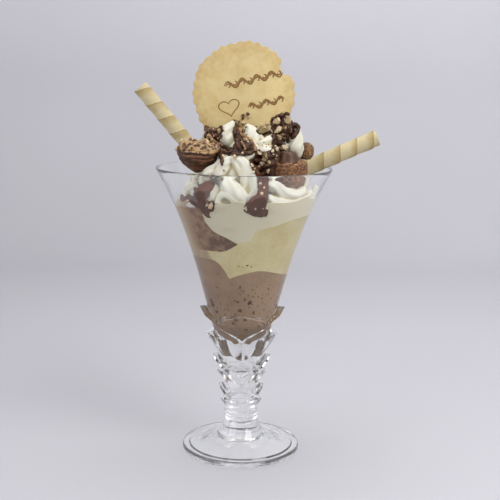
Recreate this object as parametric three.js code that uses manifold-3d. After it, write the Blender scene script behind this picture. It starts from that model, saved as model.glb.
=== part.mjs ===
// Ice cream coupe: a tall footed dessert glass with leaf tiers on its stem, filled with chocolate and
// vanilla ice cream, whipped cream, chocolate sauce, chopped nuts, pralines and wafers.
// Millimetres, +Z up, -Y is the front, origin at the centre of the foot's flat underside.
import * as THREE from "three";
import { mergeVertices } from "three/addons/utils/BufferGeometryUtils.js";
import Module from "manifold-3d";

const wasm = await Module();
wasm.setup();

// Driving dimensions of the glass
const ROUND = 26; // facets round the glass
const RIM = { height: 197, wall: 1.4, edge: 0.8 };
// The wall widens as a cubic above its waist
const WAIST = { height: 104, radius: 24.8, slope: 0.27, flare: 1.23e-5 };
const WALL_THICKENING = 0.01; // extra wall for each millimetre below the rim
const CAVITY = { bottom: 79, shoulder: 94 };
// The foot rises to the stem as a trumpet, and the stem has low rings under its leaves
const FOOT = { radius: 40.8, edge: 3.8, bead: 4.6, dish: 4.4, sweep: 14.2, power: 4.2, slant: 2.6 };
const STEM = { radius: 11.1, from: 21.6, rings: 4, pitch: 3.7, swell: 0.55 };
const CORE = [[9.6, 38], [10.6, 66], [11.6, 70], [14.2, 76]]; // radius and height inside the leaf tiers

// Leaf tiers of the stem: four flat leaves a tier, alternately square to the front and turned by an eighth.
// A leaf leans out by slope; its top edge runs from the tip over the shoulder down to the corner.
const TIERS = [
  {
    turn: 0, tip: [29.7, 101.3], shoulder: [14.5, 98.2],
    corner: 91.7, base: 85, slope: 1.3, thick: 4.2, sink: 6,
  },
  {
    turn: 1, tip: [21.1, 88.6], shoulder: [9, 85.3],
    corner: 82, base: 66, slope: 0.5, thick: 3.2, sink: 5,
  },
  {
    turn: 0, tip: [20.2, 67.4], shoulder: [9, 65.6],
    corner: 60.5, base: 55, slope: 0.95, thick: 3.0, sink: 3,
  },
  {
    turn: 1, tip: [14.8, 60.2], shoulder: [6, 58],
    corner: 55.5, base: 46.5, slope: 0.5, thick: 2.8, sink: 3,
  },
  {
    turn: 0, tip: [16.0, 46.2], shoulder: [7, 44.8],
    corner: 40.5, base: 37, slope: 0.85, thick: 2.6, sink: 2.4,
  },
  {
    turn: 1, tip: [12.4, 38.8], shoulder: [5, 37],
    corner: 35.0, base: 30, slope: 0.5, thick: 2.0, sink: 2,
  },
];
const LEAF_LIP = 0.4; // how much higher a leaf's inner edge is than its outer one

// Driving dimensions of the contents
const GAP = 0.3; // clearance between pieces that touch
const CLOSE = 0.35; // how much a topping's seat is larger than the topping
const FILL_ROUND = 20; // facets round the level of a filling
const LOWER = { leftTop: 139, leftAt: -21, leftBend: 0.085, rightTop: 131.8, rightAt: 10, rightBend: 0.017 };
const VANILLA = {
  low: 145, step: 8, stepFrom: -15, stepTo: 2, rise: 6.5, riseFrom: 4.5, riseTo: 9,
  slope: 8, slopeFrom: 0, slopeTo: 42,
};
const UPPER = { level: 159, at: -19, slope: -0.53, shoulder: 2.5, dropFrom: -24, dropTo: -19 };
const UPPER_BACK = { drop: 26, from: 8, to: 30 };
const UPPER_LEDGE = { rise: 7.6, from: -26.5, to: -24.8, highest: 173.2 };
const CREAM = { low: 166, rise: 12.5, riseFrom: -44, riseTo: -20 };
const HEAD = { radius: 57.4, height: 60 }; // the free space above the rim that the cream keeps to

// Some forms of the food are placed as a viewer in front sees them: x and z on the plane through the axis
// along the line of sight, and then the depth y at which they lie
const EYE = [0.42, -648.6, 255.86];

// Piped swirls of whipped cream: centre, lowest level, tip, radius, and how far the tip leans over
const SWIRLS = [
  { at: [-3, -26], from: 168, tip: 205, radius: 15, lean: [2, 3], lobes: 6 },
  { at: [-25, -18], from: 166, tip: 200, radius: 15, lean: [2, 3], lobes: 5 },
  { at: [-12, -3], from: 186, tip: 228, radius: 14, lean: [3, -2], lobes: 5 },
  { at: [8, -6], from: 186, tip: 224, radius: 16, lean: [-3, -2], lobes: 6 },
  { at: [31, 0], from: 178, tip: 222, radius: 15, lean: [3, -5], lobes: 5 },
  { at: [26, -21], from: 163, tip: 188, radius: 20, lean: [2, 3], lobes: 6 },
  { at: [-2, 20], from: 172, tip: 220, radius: 27, lean: [0, -6], lobes: 7 },
  { at: [28, 21], from: 172, tip: 206, radius: 19, lean: [-3, -3], lobes: 6 },
  { at: [-30, 16], from: 166, tip: 202, radius: 18, lean: [3, -2], lobes: 6 },
];
const LOBE_DEPTH = 0.11;
const LOBE_TWIST = 2.6;

// Strokes of cream at the front, as rows of seen x, seen z, depth and radius
const FOLD_SIDES = 5;
const FOLDS = [
  [
    [-8.9, 203.2, -32, 2.5], [-2.9, 202, -38, 3.2], [3.3, 195.3, -42, 3.6], [6.7, 187.3, -44, 3.6],
    [6.2, 179.8, -44, 3.2], [0.8, 174.3, -43, 2.5],
  ],
  [[-17.5, 188.3, -38, 3.4], [-15.6, 193.7, -38, 3.8], [-12.3, 199.1, -36, 3.5], [-7.6, 203.2, -32, 2.8]],
  [[-14.8, 187.6, -42, 4], [-9.4, 183.7, -44, 5.2], [-3.3, 178.3, -45, 5], [2.9, 175, -44, 3.5]],
  [
    [8.4, 212.4, -30, 1.2], [7.4, 209, -33, 2], [5, 205.3, -35, 2.4], [0.8, 202.9, -36, 2.2],
    [-5.5, 202.4, -35, 1.4],
  ],
  [[-10.4, 209.9, -11, 6.5], [-12.4, 215.9, -10, 6], [-10.5, 222.5, -8, 4.2], [-7.2, 228.2, -6, 0.8]],
  [[9.8, 208.8, -13, 7], [6.3, 215.5, -11, 6], [3.6, 221.4, -9, 4.5], [0.8, 226.4, -8, 0.8]],
  [[7.7, 210.8, -18, 2.8], [13.1, 212.2, -18, 3.8], [17.7, 215.6, -15, 3.4], [19.6, 219.6, -12, 1.4]],
  [
    [36.6, 203.4, -14, 1.8], [35, 209, -14, 5], [35.6, 215, -13, 4.4], [36.2, 220, -11, 2.4],
    [36.4, 224.2, -9, 0.5],
  ],
  [
    [-15.7, 208.5, -24, 2.6], [-14.3, 201.8, -28, 3.6], [-16.9, 196.4, -31, 4.4], [-23, 192.3, -32, 4.4],
    [-27.7, 189.5, -32, 3.5],
  ],
  [
    [14.9, 186, -40, 3.6], [21.6, 184.1, -38, 4], [27.8, 180.1, -37, 3.6], [35.3, 179.5, -33, 3.2],
    [41.2, 183.7, -26, 2.6],
  ],
  [[14.3, 177.9, -43, 2.6], [21.8, 174.6, -41, 3], [38.7, 176.9, -30, 2.8], [44.7, 182.4, -22, 2.4]],
];

// Lobes of cream under the strokes: seen x, seen z and depth, and the radii
const LOBES = [
  { at: [-4.7, 188.5, -28], radii: [12.5, 13, 15] },
  { at: [-20.2, 178.1, -37], radii: [6.5, 6, 7] },
  { at: [-21.1, 213.7, -9], radii: [8, 8, 8.5] },
  { at: [1.7, 207.7, -14], radii: [12, 10, 9] },
  { at: [13.9, 200.2, -22], radii: [11, 9, 12] },
  { at: [24, 178, -26], radii: [17, 12, 7.5] },
  { at: [-6, 175, -36], radii: [9, 8, 6] },
];

// Chocolate sauce: a coat on the lobes of cream wherever one of these patches covers them.
// Each patch is a closed smooth outline of seen [x, z] points.
const SAUCE_COAT = 1.1;
const SAUCE_PATCHES = [
  {
    depth: [-60, -2],
    outline: [
      [-27, 214], [-25, 222], [-16, 225], [-15, 213], [-8, 211], [-7, 222], [-3, 220], [7, 213], [2, 206],
      [-8, 205.5], [-14.5, 203], [-25, 209],
    ],
  },
  {
    depth: [-60, -2],
    outline: [
      [9, 209.5], [18, 209], [20, 219], [27, 220], [28, 206], [23, 194], [17, 188], [16.5, 173],
      [14, 164], [-1, 170], [8, 180], [4, 201],
    ],
  },
  {
    depth: [-60, -6],
    outline: [
      [-33, 182], [-27, 186], [-21.6, 184], [-25.5, 175], [-22.5, 162.5], [-31, 169], [-42, 175],
      [-42, 179], [-35, 176],
    ],
  },
];

// Chopped nuts, in patches [x, z] with a radius, fused to the cream and the sauce
const NUT = { least: 1.2, most: 2.3, spacing: 2.6 };
const NUT_PATCHES = [
  { at: [-2, 224], radius: 7, count: 4, front: 2 },
  { at: [-20, 213], radius: 9, count: 6, front: 0 },
  { at: [17, 204], radius: 9, count: 5, front: -10 },
  { at: [11, 192], radius: 6, count: 2, front: -20 },
  { at: [-2, 211], radius: 7, count: 2, front: -5 },
];

// Toppings
const WAFER = { radius: 34.2, thick: 2.3, scallops: 34, wave: 0.55, at: [-1, 9, 246], lean: 2 };
const CHIP = { at: 30, half: 15, deep: 5 }; // the notch in the wafer's rim, in degrees and millimetres
const ROLLS = {
  left: { tip: [-69.8, 3, 249.4], foot: [-24, 3, 195.4], radius: 5.1 },
  right: { tip: [89.3, 3, 218], foot: [29, 3, 191.0], radius: 5.4 },
};
const ROLL = { facets: 9, turnsEvery: 12, band: 0.3, boreRadius: 2.0, boreDepth: 7, step: 5.5 };
// Halved pralines, full like a cup below, or narrowing to a point
const PRALINES = {
  left: { at: [-29.7, -22, 210.2], radius: 13.8, depth: 15.4, crown: 5.5, tilt: 4, rough: 0.05, point: true },
  right: { at: [28.8, -21, 201.6], radius: 12.6, depth: 17.6, crown: 2, tilt: -1, rough: 0.04 },
  small: { at: [40.8, -9, 208.6], radius: 5, depth: 5, crown: 5.6, tilt: 8, rough: 0.08 },
};
const CAP = { at: [28.2, -24, 203.6], radius: 7.2, top: 4.4, height: 6.6, thick: 1.4 };
const CLUSTER = { at: [24.6, -6, 221.5], radii: [7.4, 6.2, 11.2], rough: 0.34, seed: 21, bits: 9, bit: 2.9 };
const RIBBON = [
  [29, 222, -11, 1.4], [34.2, 226.5, -12, 1.5], [35.6, 223.2, -13, 1.5], [33.7, 219.2, -14, 1.5],
  [29, 214, -12, 1.4],
];

// Small maths

const clamp01 = (t) => Math.min(1, Math.max(0, t));

function smooth(from, to, value) {
  const t = clamp01((value - from) / (to - from));
  return t * t * (3 - 2 * t);
}

function seeded(seed) {
  let state = seed >>> 0;
  return () => {
    state = (state + 0x6d2b79f5) >>> 0;
    let t = Math.imul(state ^ (state >>> 15), 1 | state);
    t = (t + Math.imul(t ^ (t >>> 7), 61 | t)) ^ t;
    return ((t ^ (t >>> 14)) >>> 0) / 4294967296;
  };
}

// A soft unevenness between -1 and 1, made of a few waves
function ripple(x, y, z, seed) {
  const a = Math.sin(x * 0.9 + seed * 1.7 + 1.3 * Math.sin(z * 0.6 + seed));
  const b = Math.sin(y * 1.1 + seed * 2.3 + 1.1 * Math.sin(x * 0.7 - seed));
  const c = Math.sin(z * 1.3 + seed * 0.9 + 1.2 * Math.sin(y * 0.8 + seed));
  return (a + b + c) / 3;
}

// Solids

function solidOf(geometry) {
  const bare = geometry.clone();
  bare.deleteAttribute("normal");
  bare.deleteAttribute("uv");
  const merged = mergeVertices(bare, 1e-4);
  const mesh = new wasm.Mesh({
    numProp: 3,
    vertProperties: merged.attributes.position.array,
    triVerts: new Uint32Array(merged.index.array),
  });
  return new wasm.Manifold(mesh);
}

function geometryOf(solid) {
  const mesh = solid.getMesh();
  const geometry = new THREE.BufferGeometry();
  geometry.setAttribute("position", new THREE.BufferAttribute(new Float32Array(mesh.vertProperties), 3));
  geometry.setIndex(new THREE.BufferAttribute(new Uint32Array(mesh.triVerts), 1));
  geometry.computeVertexNormals();
  return geometry;
}

const join = (solids) => solids.reduce((sum, solid) => sum.add(solid));

// The largest body of a solid: a cut can leave loose scraps, which are dropped
function largestBody(solid) {
  return solid.decompose().reduce((best, body) => (body.volume() > best.volume() ? body : best));
}

// A closed skin of rows from a lower pole to an upper pole. place(row, angle) gives each vertex;
// the angle starts at the front and grows towards +X.
function skin(rows, segments, place) {
  const profile = Array.from({ length: rows }, (_, row) => new THREE.Vector2(1, row));
  const geometry = new THREE.LatheGeometry(profile, segments);
  const positions = geometry.attributes.position;
  for (let segment = 0; segment <= segments; segment++) {
    const angle = ((segment % segments) / segments) * 2 * Math.PI;
    for (let row = 0; row < rows; row++) {
      const [x, y, z] = place(row, angle);
      positions.setXYZ(segment * rows + row, x, y, z);
    }
  }
  return solidOf(geometry);
}

// A turned solid with its axis on Z; the profile is a list of [radius, height], rising on the outside
function turned(profile, segments) {
  const points = profile.map(([radius, height]) => new THREE.Vector2(radius, height));
  return solidOf(new THREE.LatheGeometry(points, segments).rotateX(Math.PI / 2));
}

// The glass

function wallRadius(height) {
  const t = height - WAIST.height;
  return WAIST.radius + WAIST.slope * t + WAIST.flare * t ** 3;
}

function innerRadius(height) {
  const wall = RIM.wall + WALL_THICKENING * (RIM.height - Math.min(height, RIM.height));
  const full = wallRadius(Math.min(height, RIM.height)) - wall;
  const below = clamp01((CAVITY.shoulder - height) / (CAVITY.shoulder - CAVITY.bottom));
  return full * (1 - below ** 2);
}

// The hollow of the glass, smaller all round by the gap, up to the given height
function hollow(gap, top) {
  const profile = [[0, CAVITY.bottom + gap]];
  const curved = 4;
  for (let i = 1; i <= curved; i++) {
    const height = CAVITY.bottom + (CAVITY.shoulder - CAVITY.bottom) * (i / curved) ** 2;
    profile.push([innerRadius(height) - gap, height + gap]);
  }
  const straight = 5;
  for (let i = 1; i <= straight; i++) {
    const height = CAVITY.shoulder + (RIM.height - CAVITY.shoulder) * (i / straight);
    profile.push([innerRadius(height) - gap, height + gap * (1 - i / straight)]);
  }
  profile.push([innerRadius(RIM.height) - gap, top]);
  profile.push([0, top]);
  return turned(profile, ROUND);
}

function footProfile() {
  const { radius, edge, bead, dish, sweep, power, slant } = FOOT;
  const profile = [
    [0, 0],
    [radius - 1.0, 0],
    [radius, edge * 0.5],
    [radius - 1.2, edge],
    [radius - bead, edge - 0.35],
  ];
  const steps = 6;
  const start = radius - bead - 0.7;
  for (let i = 0; i <= steps; i++) {
    const t = i / steps;
    profile.push([start + (STEM.radius + 0.2 - start) * t, dish + sweep * t ** power + slant * t]);
  }
  return profile;
}

// The plain stem with its low rings, and the core that the leaves stand round
function stemProfile() {
  const { radius, from, rings, pitch, swell } = STEM;
  const profile = [];
  for (let half = 0; half <= 2 * rings; half++) {
    profile.push([radius + (half % 2 ? swell : 0), from + (pitch * half) / 2]);
  }
  return [...profile, ...CORE];
}

function wallProfile() {
  const rows = 6;
  const start = CAVITY.bottom + 6;
  const profile = [];
  for (let i = 0; i <= rows; i++) {
    const height = start + (RIM.height - RIM.edge - start) * (i / rows);
    profile.push([wallRadius(height), height]);
  }
  profile.push([wallRadius(RIM.height) - RIM.edge * 0.5, RIM.height]);
  profile.push([0, RIM.height]);
  return profile;
}

// One tier: a square cup of four leaning flat leaves, closed down to the core of the stem
function leafTier({ turn, tip, shoulder, corner, base, slope, thick, sink }) {
  const [tipRadius, tipHeight] = tip;
  const flat = (height) => tipRadius - slope * (tipHeight - height);
  const stations = [
    [-flat(corner), corner],
    [-shoulder[0], shoulder[1]],
    [0, tipHeight],
    [shoulder[0], shoulder[1]],
  ];
  const leaf = stations.map(([across, height]) => ({ across, height, out: flat(height) }));
  const segments = 4 * leaf.length;
  const inner = flat(base) * 0.8;
  const lowest = Math.min(...leaf.map((station) => station.height));
  const rows = 6;
  return skin(rows, segments, (row, angle) => {
    const index = Math.round((angle / (2 * Math.PI)) * segments) % segments;
    const quarter = Math.floor(index / leaf.length);
    const { across, height, out } = leaf[index % leaf.length];
    const facing = quarter * (Math.PI / 2) + turn * (Math.PI / 4);
    const direction = facing + Math.atan2(across, out);
    const edgeRadius = Math.hypot(across, out);
    const baseRadius = flat(base) / Math.cos(Math.atan2(across, out));
    const sunk = Math.max(lowest - sink, base + 0.5);
    const byRow = [
      [0, base],
      [baseRadius, base],
      [edgeRadius, height],
      [edgeRadius - thick, height + LEAF_LIP],
      [inner, sunk],
      [0, sunk],
    ];
    const [radius, level] = byRow[row];
    return [radius * Math.sin(direction), -radius * Math.cos(direction), level];
  });
}

function glassSolid() {
  const body = turned([...footProfile(), ...stemProfile(), ...wallProfile()], ROUND);
  const leaves = TIERS.map((tier) => leafTier(tier));
  const headroom = 10;
  return largestBody(join([body, ...leaves]).subtract(hollow(0, RIM.height + headroom)));
}

// The ice cream and cream layers, each bounded above by a level that changes over the glass

function lowerLevel(x, y) {
  const left = LOWER.leftTop - LOWER.leftBend * Math.max(x - LOWER.leftAt, 0) ** 2;
  const right = LOWER.rightTop - LOWER.rightBend * (x - LOWER.rightAt) ** 2;
  const floor = 108;
  return Math.max(left, right, floor) + 0.5 * ripple(x * 0.3, y * 0.3, 0, 2);
}

function vanillaLevel(x, y) {
  const step = VANILLA.step * smooth(VANILLA.stepFrom, VANILLA.stepTo, x);
  const rise = VANILLA.rise * smooth(VANILLA.riseFrom, VANILLA.riseTo, x);
  const slope = VANILLA.slope * smooth(VANILLA.slopeFrom, VANILLA.slopeTo, x);
  return VANILLA.low + step + rise + slope + 0.5 * ripple(x * 0.3, y * 0.3, 3, 4);
}

function upperLevel(x, y) {
  const slope = UPPER.slope * (x - UPPER.at);
  const shoulder = UPPER.shoulder * (1 - smooth(UPPER.dropFrom, UPPER.dropTo, x));
  const ledge = UPPER_LEDGE.rise * (1 - smooth(UPPER_LEDGE.from, UPPER_LEDGE.to, x));
  const level = Math.min(UPPER.level + slope + shoulder + ledge, UPPER_LEDGE.highest);
  const back = UPPER_BACK.drop * smooth(UPPER_BACK.from, UPPER_BACK.to, y);
  return level - back + 0.6 * ripple(x * 0.35, y * 0.35, 6, 7);
}

function creamLevel(x, y) {
  const rise = CREAM.rise * smooth(CREAM.riseFrom, CREAM.riseTo, x);
  return CREAM.low + rise + 1.3 * ripple(x * 0.3, y * 0.3, 9, 1);
}

// Everything under a level, as a solid wider than the glass
function under(level, lift = 0) {
  const rings = 5;
  const reach = 64;
  const depth = 60;
  return skin(rings + 3, FILL_ROUND, (row, angle) => {
    if (row === 0) return [0, 0, depth];
    if (row === 1) return [reach * Math.sin(angle), -reach * Math.cos(angle), depth];
    const radius = reach * (1 - (row - 2) / rings);
    const x = radius * Math.sin(angle);
    const y = -radius * Math.cos(angle);
    return [x, y, level(x, y) + lift];
  });
}

function fillings() {
  const room = hollow(GAP, RIM.height - 2);
  const lower = room.intersect(under(lowerLevel));
  const vanilla = room.intersect(under(vanillaLevel)).subtract(under(lowerLevel, GAP));
  const upper = room.intersect(under(upperLevel)).subtract(under(vanillaLevel, GAP));
  const everything = under(vanillaLevel, GAP).add(under(upperLevel, GAP));
  return {
    lower: largestBody(lower),
    vanilla: largestBody(vanilla),
    upper: largestBody(upper),
    everything,
  };
}

// Whipped cream, sauce and nuts

// A piped swirl: a soft cone with twisted lobes that leans over at the tip
function swirl({ at, from, tip, radius, lean, lobes }) {
  const rows = 5;
  const segments = lobes * 2;
  return skin(rows, segments, (row, angle) => {
    const t = row / (rows - 1);
    const full = radius * Math.sqrt(Math.max(0, 1 - t ** 1.7)) * (1 - 0.25 * t);
    const swell = LOBE_DEPTH * Math.sin(Math.PI * t) ** 0.5;
    const wave = 1 + swell * Math.cos(lobes * angle + LOBE_TWIST * Math.PI * t);
    const reach = row === 0 || row === rows - 1 ? 0 : full * wave;
    const x = at[0] + lean[0] * t * t + reach * Math.sin(angle);
    const y = at[1] + lean[1] * t * t - reach * Math.cos(angle);
    return [x, y, from + (tip - from) * t ** 0.85];
  });
}

// The point at a depth that the viewer sees at x and z
function seen(x, z, depth) {
  const share = (depth - EYE[1]) / -EYE[1];
  return new THREE.Vector3(EYE[0] + (x - EYE[0]) * share, depth, EYE[2] + (z - EYE[2]) * share);
}

// A soft rope through rows of seen x, seen z, depth and radius, pointed at both ends
function fold(path, grow = 0) {
  const rings = path.map(([x, z, depth, radius]) => ({ at: seen(x, z, depth), radius: radius + grow }));
  const last = rings.length - 1;
  const back = new THREE.Vector3(0, 1, 0);
  const rows = rings.length + 2;
  return skin(rows, FOLD_SIDES, (row, angle) => {
    const index = Math.min(Math.max(row - 1, 0), last);
    const { at, radius } = rings[index];
    const before = rings[Math.max(index - 1, 0)].at;
    const ahead = rings[Math.min(index + 1, last)].at.clone().sub(before).normalize();
    const across = ahead.clone().cross(back).normalize();
    const up = across.clone().cross(ahead);
    const end = row === 0 ? -1 : row === rows - 1 ? 1 : 0;
    const reach = end ? 0 : radius;
    const spoke = up.multiplyScalar(-Math.cos(angle)).addScaledVector(across, -Math.sin(angle));
    return at.clone().addScaledVector(spoke, reach).addScaledVector(ahead, end * radius * 0.7).toArray();
  });
}

function lobe({ at, radii }, grow = 0) {
  const ball = new THREE.IcosahedronGeometry(1, 1);
  ball.scale(radii[0] + grow, radii[1] + grow, radii[2] + grow);
  return solidOf(ball.translate(...seen(...at).toArray()));
}

// A prism through the cream that widens away from the viewer, with a smooth outline
function sauceWindow({ depth, outline }) {
  const corners = outline.map(([x, z]) => new THREE.Vector3(x, z, 0));
  const curve = new THREE.CatmullRomCurve3(corners, true, "centripetal");
  const shape = new THREE.Shape(curve.getPoints(outline.length).map((p) => new THREE.Vector2(p.x, p.y)));
  const prism = new THREE.ExtrudeGeometry(shape, { depth: depth[1] - depth[0], bevelEnabled: false });
  prism.rotateX(Math.PI / 2).translate(0, depth[1], 0);
  const positions = prism.attributes.position;
  for (let i = 0; i < positions.count; i++) {
    positions.setXYZ(i, ...seen(positions.getX(i), positions.getZ(i), positions.getY(i)).toArray());
  }
  return solidOf(prism);
}

// Bits of nut seated on the visible skin of a solid, in front-view patches
function nutBits(solid) {
  const random = seeded(41);
  const mesh = solid.getMesh();
  const skinPoints = [];
  for (let i = 0; i < mesh.triVerts.length; i += 3) {
    const corners = [0, 1, 2].map((k) => {
      const v = mesh.triVerts[i + k] * mesh.numProp;
      return new THREE.Vector3().fromArray(mesh.vertProperties, v);
    });
    const normal = new THREE.Triangle(...corners).getNormal(new THREE.Vector3());
    if (normal.y > 0.3) continue;
    if (normal.z < -0.2) continue;
    skinPoints.push(corners[0].clone().add(corners[1]).add(corners[2]).divideScalar(3));
  }
  const bits = [];
  const seats = [];
  for (const { at, radius, count, front } of NUT_PATCHES) {
    const near = skinPoints.filter((p) => Math.hypot(p.x - at[0], p.z - at[1]) < radius && p.y < front);
    let made = 0;
    for (let attempt = 0; attempt < 40 * count && made < count && near.length; attempt++) {
      const seat = near[Math.floor(random() * near.length)];
      if (seats.some((other) => other.distanceTo(seat) < NUT.spacing)) continue;
      seats.push(seat);
      made += 1;
      const size = NUT.least + (NUT.most - NUT.least) * random();
      const bit = new THREE.OctahedronGeometry(size, 0);
      bit.scale(1, 0.75 + 0.4 * random(), 0.65 + 0.3 * random());
      bit.rotateX(random() * Math.PI).rotateZ(random() * Math.PI);
      bits.push(solidOf(bit.translate(seat.x, seat.y - 0.2, seat.z + 0.1)));
    }
  }
  return bits;
}

// Toppings; grow gives the slightly larger form that cuts a topping's seat

function waferSolid(grow = 0) {
  const stations = WAFER.scallops * 2;
  const outline = [];
  for (let i = 0; i < stations; i++) {
    const angle = (i / stations) * 2 * Math.PI;
    const turn = THREE.MathUtils.radToDeg(angle);
    const ragged = 0.35 * Math.sin(angle * 5 + 1) + 0.3 * Math.sin(angle * 11 + 4);
    const chipped = CHIP.deep * (1 - smooth(0, CHIP.half, Math.abs(turn - CHIP.at)));
    const radius = WAFER.radius + WAFER.wave * Math.cos(angle * WAFER.scallops) + ragged - chipped + grow;
    outline.push(new THREE.Vector2(radius * Math.cos(angle), radius * Math.sin(angle)));
  }
  const thick = WAFER.thick + 2 * grow;
  const disc = new THREE.ExtrudeGeometry(new THREE.Shape(outline), { depth: thick, bevelEnabled: false });
  disc.translate(0, 0, -thick / 2).rotateX(Math.PI / 2);
  disc.rotateX(-THREE.MathUtils.degToRad(WAFER.lean));
  return solidOf(disc.translate(...WAFER.at));
}

// A rolled wafer: a rod with a raised band winding round it, and a short bore in its free end
function rollSolid({ tip, foot, radius }, grow = 0) {
  const start = new THREE.Vector3(...foot);
  const end = new THREE.Vector3(...tip);
  const length = start.distanceTo(end);
  const rows = Math.ceil(length / ROLL.step);
  const fullRadius = radius + grow;
  const rod = skin(rows + 3, ROLL.facets, (row, angle) => {
    const along = clamp01((row - 1) / rows) * length;
    const pole = row === 0 || row === rows + 2;
    const turn = angle / (2 * Math.PI);
    const phase = (along / ROLL.turnsEvery + turn) % 1;
    const band = ROLL.band * (phase - 0.5);
    const reach = pole ? 0 : fullRadius + (grow ? ROLL.band / 2 : band);
    const level = row <= 1 ? -grow : row > rows ? length + grow : along;
    return [reach * Math.sin(angle), -reach * Math.cos(angle), level];
  });
  const boreBottom = length - ROLL.boreDepth;
  const boreTop = length + 2;
  const boreProfile = [
    [0, boreBottom],
    [ROLL.boreRadius, boreBottom],
    [ROLL.boreRadius, boreTop],
    [0, boreTop],
  ];
  const bore = turned(boreProfile, ROLL.facets);
  const straight = grow ? rod : rod.subtract(bore);
  const ahead = end.clone().sub(start).normalize();
  const turn = new THREE.Quaternion().setFromUnitVectors(new THREE.Vector3(0, 0, 1), ahead);
  const geometry = geometryOf(straight).applyQuaternion(turn).translate(start.x, start.y, start.z);
  return solidOf(geometry);
}

// A halved praline, cut side up: a deep bowl of a form below a low heaped crown
function pralineSolid({ at, radius, depth, crown, tilt, rough, point = false }, grow = 0) {
  const rows = 9;
  const segments = 14;
  const lower = 5;
  const leaning = THREE.MathUtils.degToRad(tilt);
  return skin(rows, segments, (row, angle) => {
    const below = row <= lower;
    const t = below ? row / lower : (row - lower) / (rows - 1 - lower);
    const arc = (Math.PI / 2) * (below ? 1 - t : t);
    const level = below ? -(depth + grow) * Math.sin(arc) : (crown + grow) * Math.sin(arc) ** 0.8;
    const pole = row === 0 || row === rows - 1;
    const unevenness = grow ? 1 : ripple(6 * Math.sin(angle), 6 * Math.cos(angle), level * 0.5, radius);
    const uneven = 1 + rough * unevenness;
    const bowl = point ? (1 - Math.sin(arc) ** 2.2) ** 0.85 : Math.cos(arc) ** 0.55;
    const form = below ? bowl : Math.cos(arc) ** 0.8;
    const reach = pole ? 0 : (radius + grow) * form * uneven;
    const x = reach * Math.sin(angle);
    const y = -reach * Math.cos(angle);
    return [
      at[0] + x * Math.cos(leaning) + level * Math.sin(leaning),
      at[1] + y,
      at[2] - x * Math.sin(leaning) + level * Math.cos(leaning),
    ];
  });
}

// A smooth moulded chocolate shell with a flat top, lying on the right praline
function capSolid(grow = 0) {
  const { at, radius, top, height, thick } = CAP;
  const profile = [
    [0, -thick - grow],
    [radius - 0.8 + grow, -thick - grow],
    [radius + grow, -thick + 0.6],
    [radius + grow, -0.3],
    [radius - 0.7 + grow, 0.4],
    [top + 1.1 + grow, height - 2.0],
    [top + 0.4 + grow, height - 0.6],
    [top - 0.8, height + grow],
    [0, height + grow],
  ];
  const facets = 14;
  const geometry = geometryOf(turned(profile, facets));
  return solidOf(geometry.translate(...at));
}

// A lump of caramelised hazelnuts with a ribbon of sauce
function clusterSolid(grow = 0) {
  const { at, radii, rough, seed, bits, bit } = CLUSTER;
  const random = seeded(seed);
  const lump = new THREE.IcosahedronGeometry(1, 2);
  const positions = lump.attributes.position;
  for (let i = 0; i < positions.count; i++) {
    const p = new THREE.Vector3().fromBufferAttribute(positions, i);
    const swell = 1 + rough * ripple(p.x * 3, p.y * 3, p.z * 3, seed);
    const [x, y, z] = radii.map((radius) => radius * swell + grow);
    positions.setXYZ(i, p.x * x, p.y * y, p.z * z);
  }
  const solids = [solidOf(lump.translate(...at)), fold(RIBBON, grow)];
  for (let i = 0; i < bits; i++) {
    const around = random() * 2 * Math.PI;
    const up = -0.1 + 1.05 * random();
    const out = Math.sqrt(1 - up * up);
    const nut = new THREE.IcosahedronGeometry(bit * (0.6 + 0.5 * random()) + grow, 0);
    nut.scale(1, 0.9, 0.75).rotateY(random() * Math.PI).rotateZ(random() * Math.PI);
    nut.translate(
      at[0] + radii[0] * 0.9 * out * Math.cos(around),
      at[1] + radii[1] * 0.9 * out * Math.sin(around),
      at[2] + radii[2] * 0.9 * up,
    );
    solids.push(solidOf(nut));
  }
  return largestBody(join(solids));
}

// The cream fills the glass above the ice cream, and the swirls, sauce and nuts stand on it
function creamSolid(everything, seats) {
  const room = hollow(GAP, RIM.height);
  const headBottom = RIM.height - 1;
  const headTop = RIM.height + HEAD.height;
  const headProfile = [
    [0, headBottom],
    [HEAD.radius, headBottom],
    [HEAD.radius, headTop],
    [0, headTop],
  ];
  const head = turned(headProfile, ROUND);
  const envelope = room.add(head);
  const strokes = FOLDS.map((path) => fold(path));
  const piped = [...SWIRLS.map(swirl), ...LOBES.map((form) => lobe(form)), ...strokes];
  const soft = room.intersect(under(creamLevel)).add(join(piped));
  const coat = join(LOBES.map((form) => lobe(form, SAUCE_COAT)));
  const sauce = join(SAUCE_PATCHES.map(sauceWindow)).intersect(coat);
  const sauced = soft.add(sauce);
  const topped = join([sauced, ...nutBits(sauced)]);
  return largestBody(topped.intersect(envelope).subtract(everything).subtract(join(seats)));
}

// The scene graph

function piece(name, solid, colour, roughness) {
  const material = new THREE.MeshStandardMaterial({ color: colour, roughness, metalness: 0 });
  const mesh = new THREE.Mesh(geometryOf(solid), material);
  mesh.name = name;
  return mesh;
}

const layers = fillings();
const cap = capSolid();
const rightPraline = pralineSolid(PRALINES.right).subtract(capSolid(GAP));
const seats = [
  waferSolid(CLOSE),
  rollSolid(ROLLS.left, CLOSE),
  rollSolid(ROLLS.right, CLOSE),
  pralineSolid(PRALINES.left, CLOSE),
  pralineSolid(PRALINES.right, CLOSE),
  pralineSolid(PRALINES.small, CLOSE),
  capSolid(CLOSE),
  clusterSolid(CLOSE),
];

const glass = piece("glass", glassSolid(), 0xe4e8ea, 0.04);
glass.material.transparent = true;
glass.material.opacity = 0.35;

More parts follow.
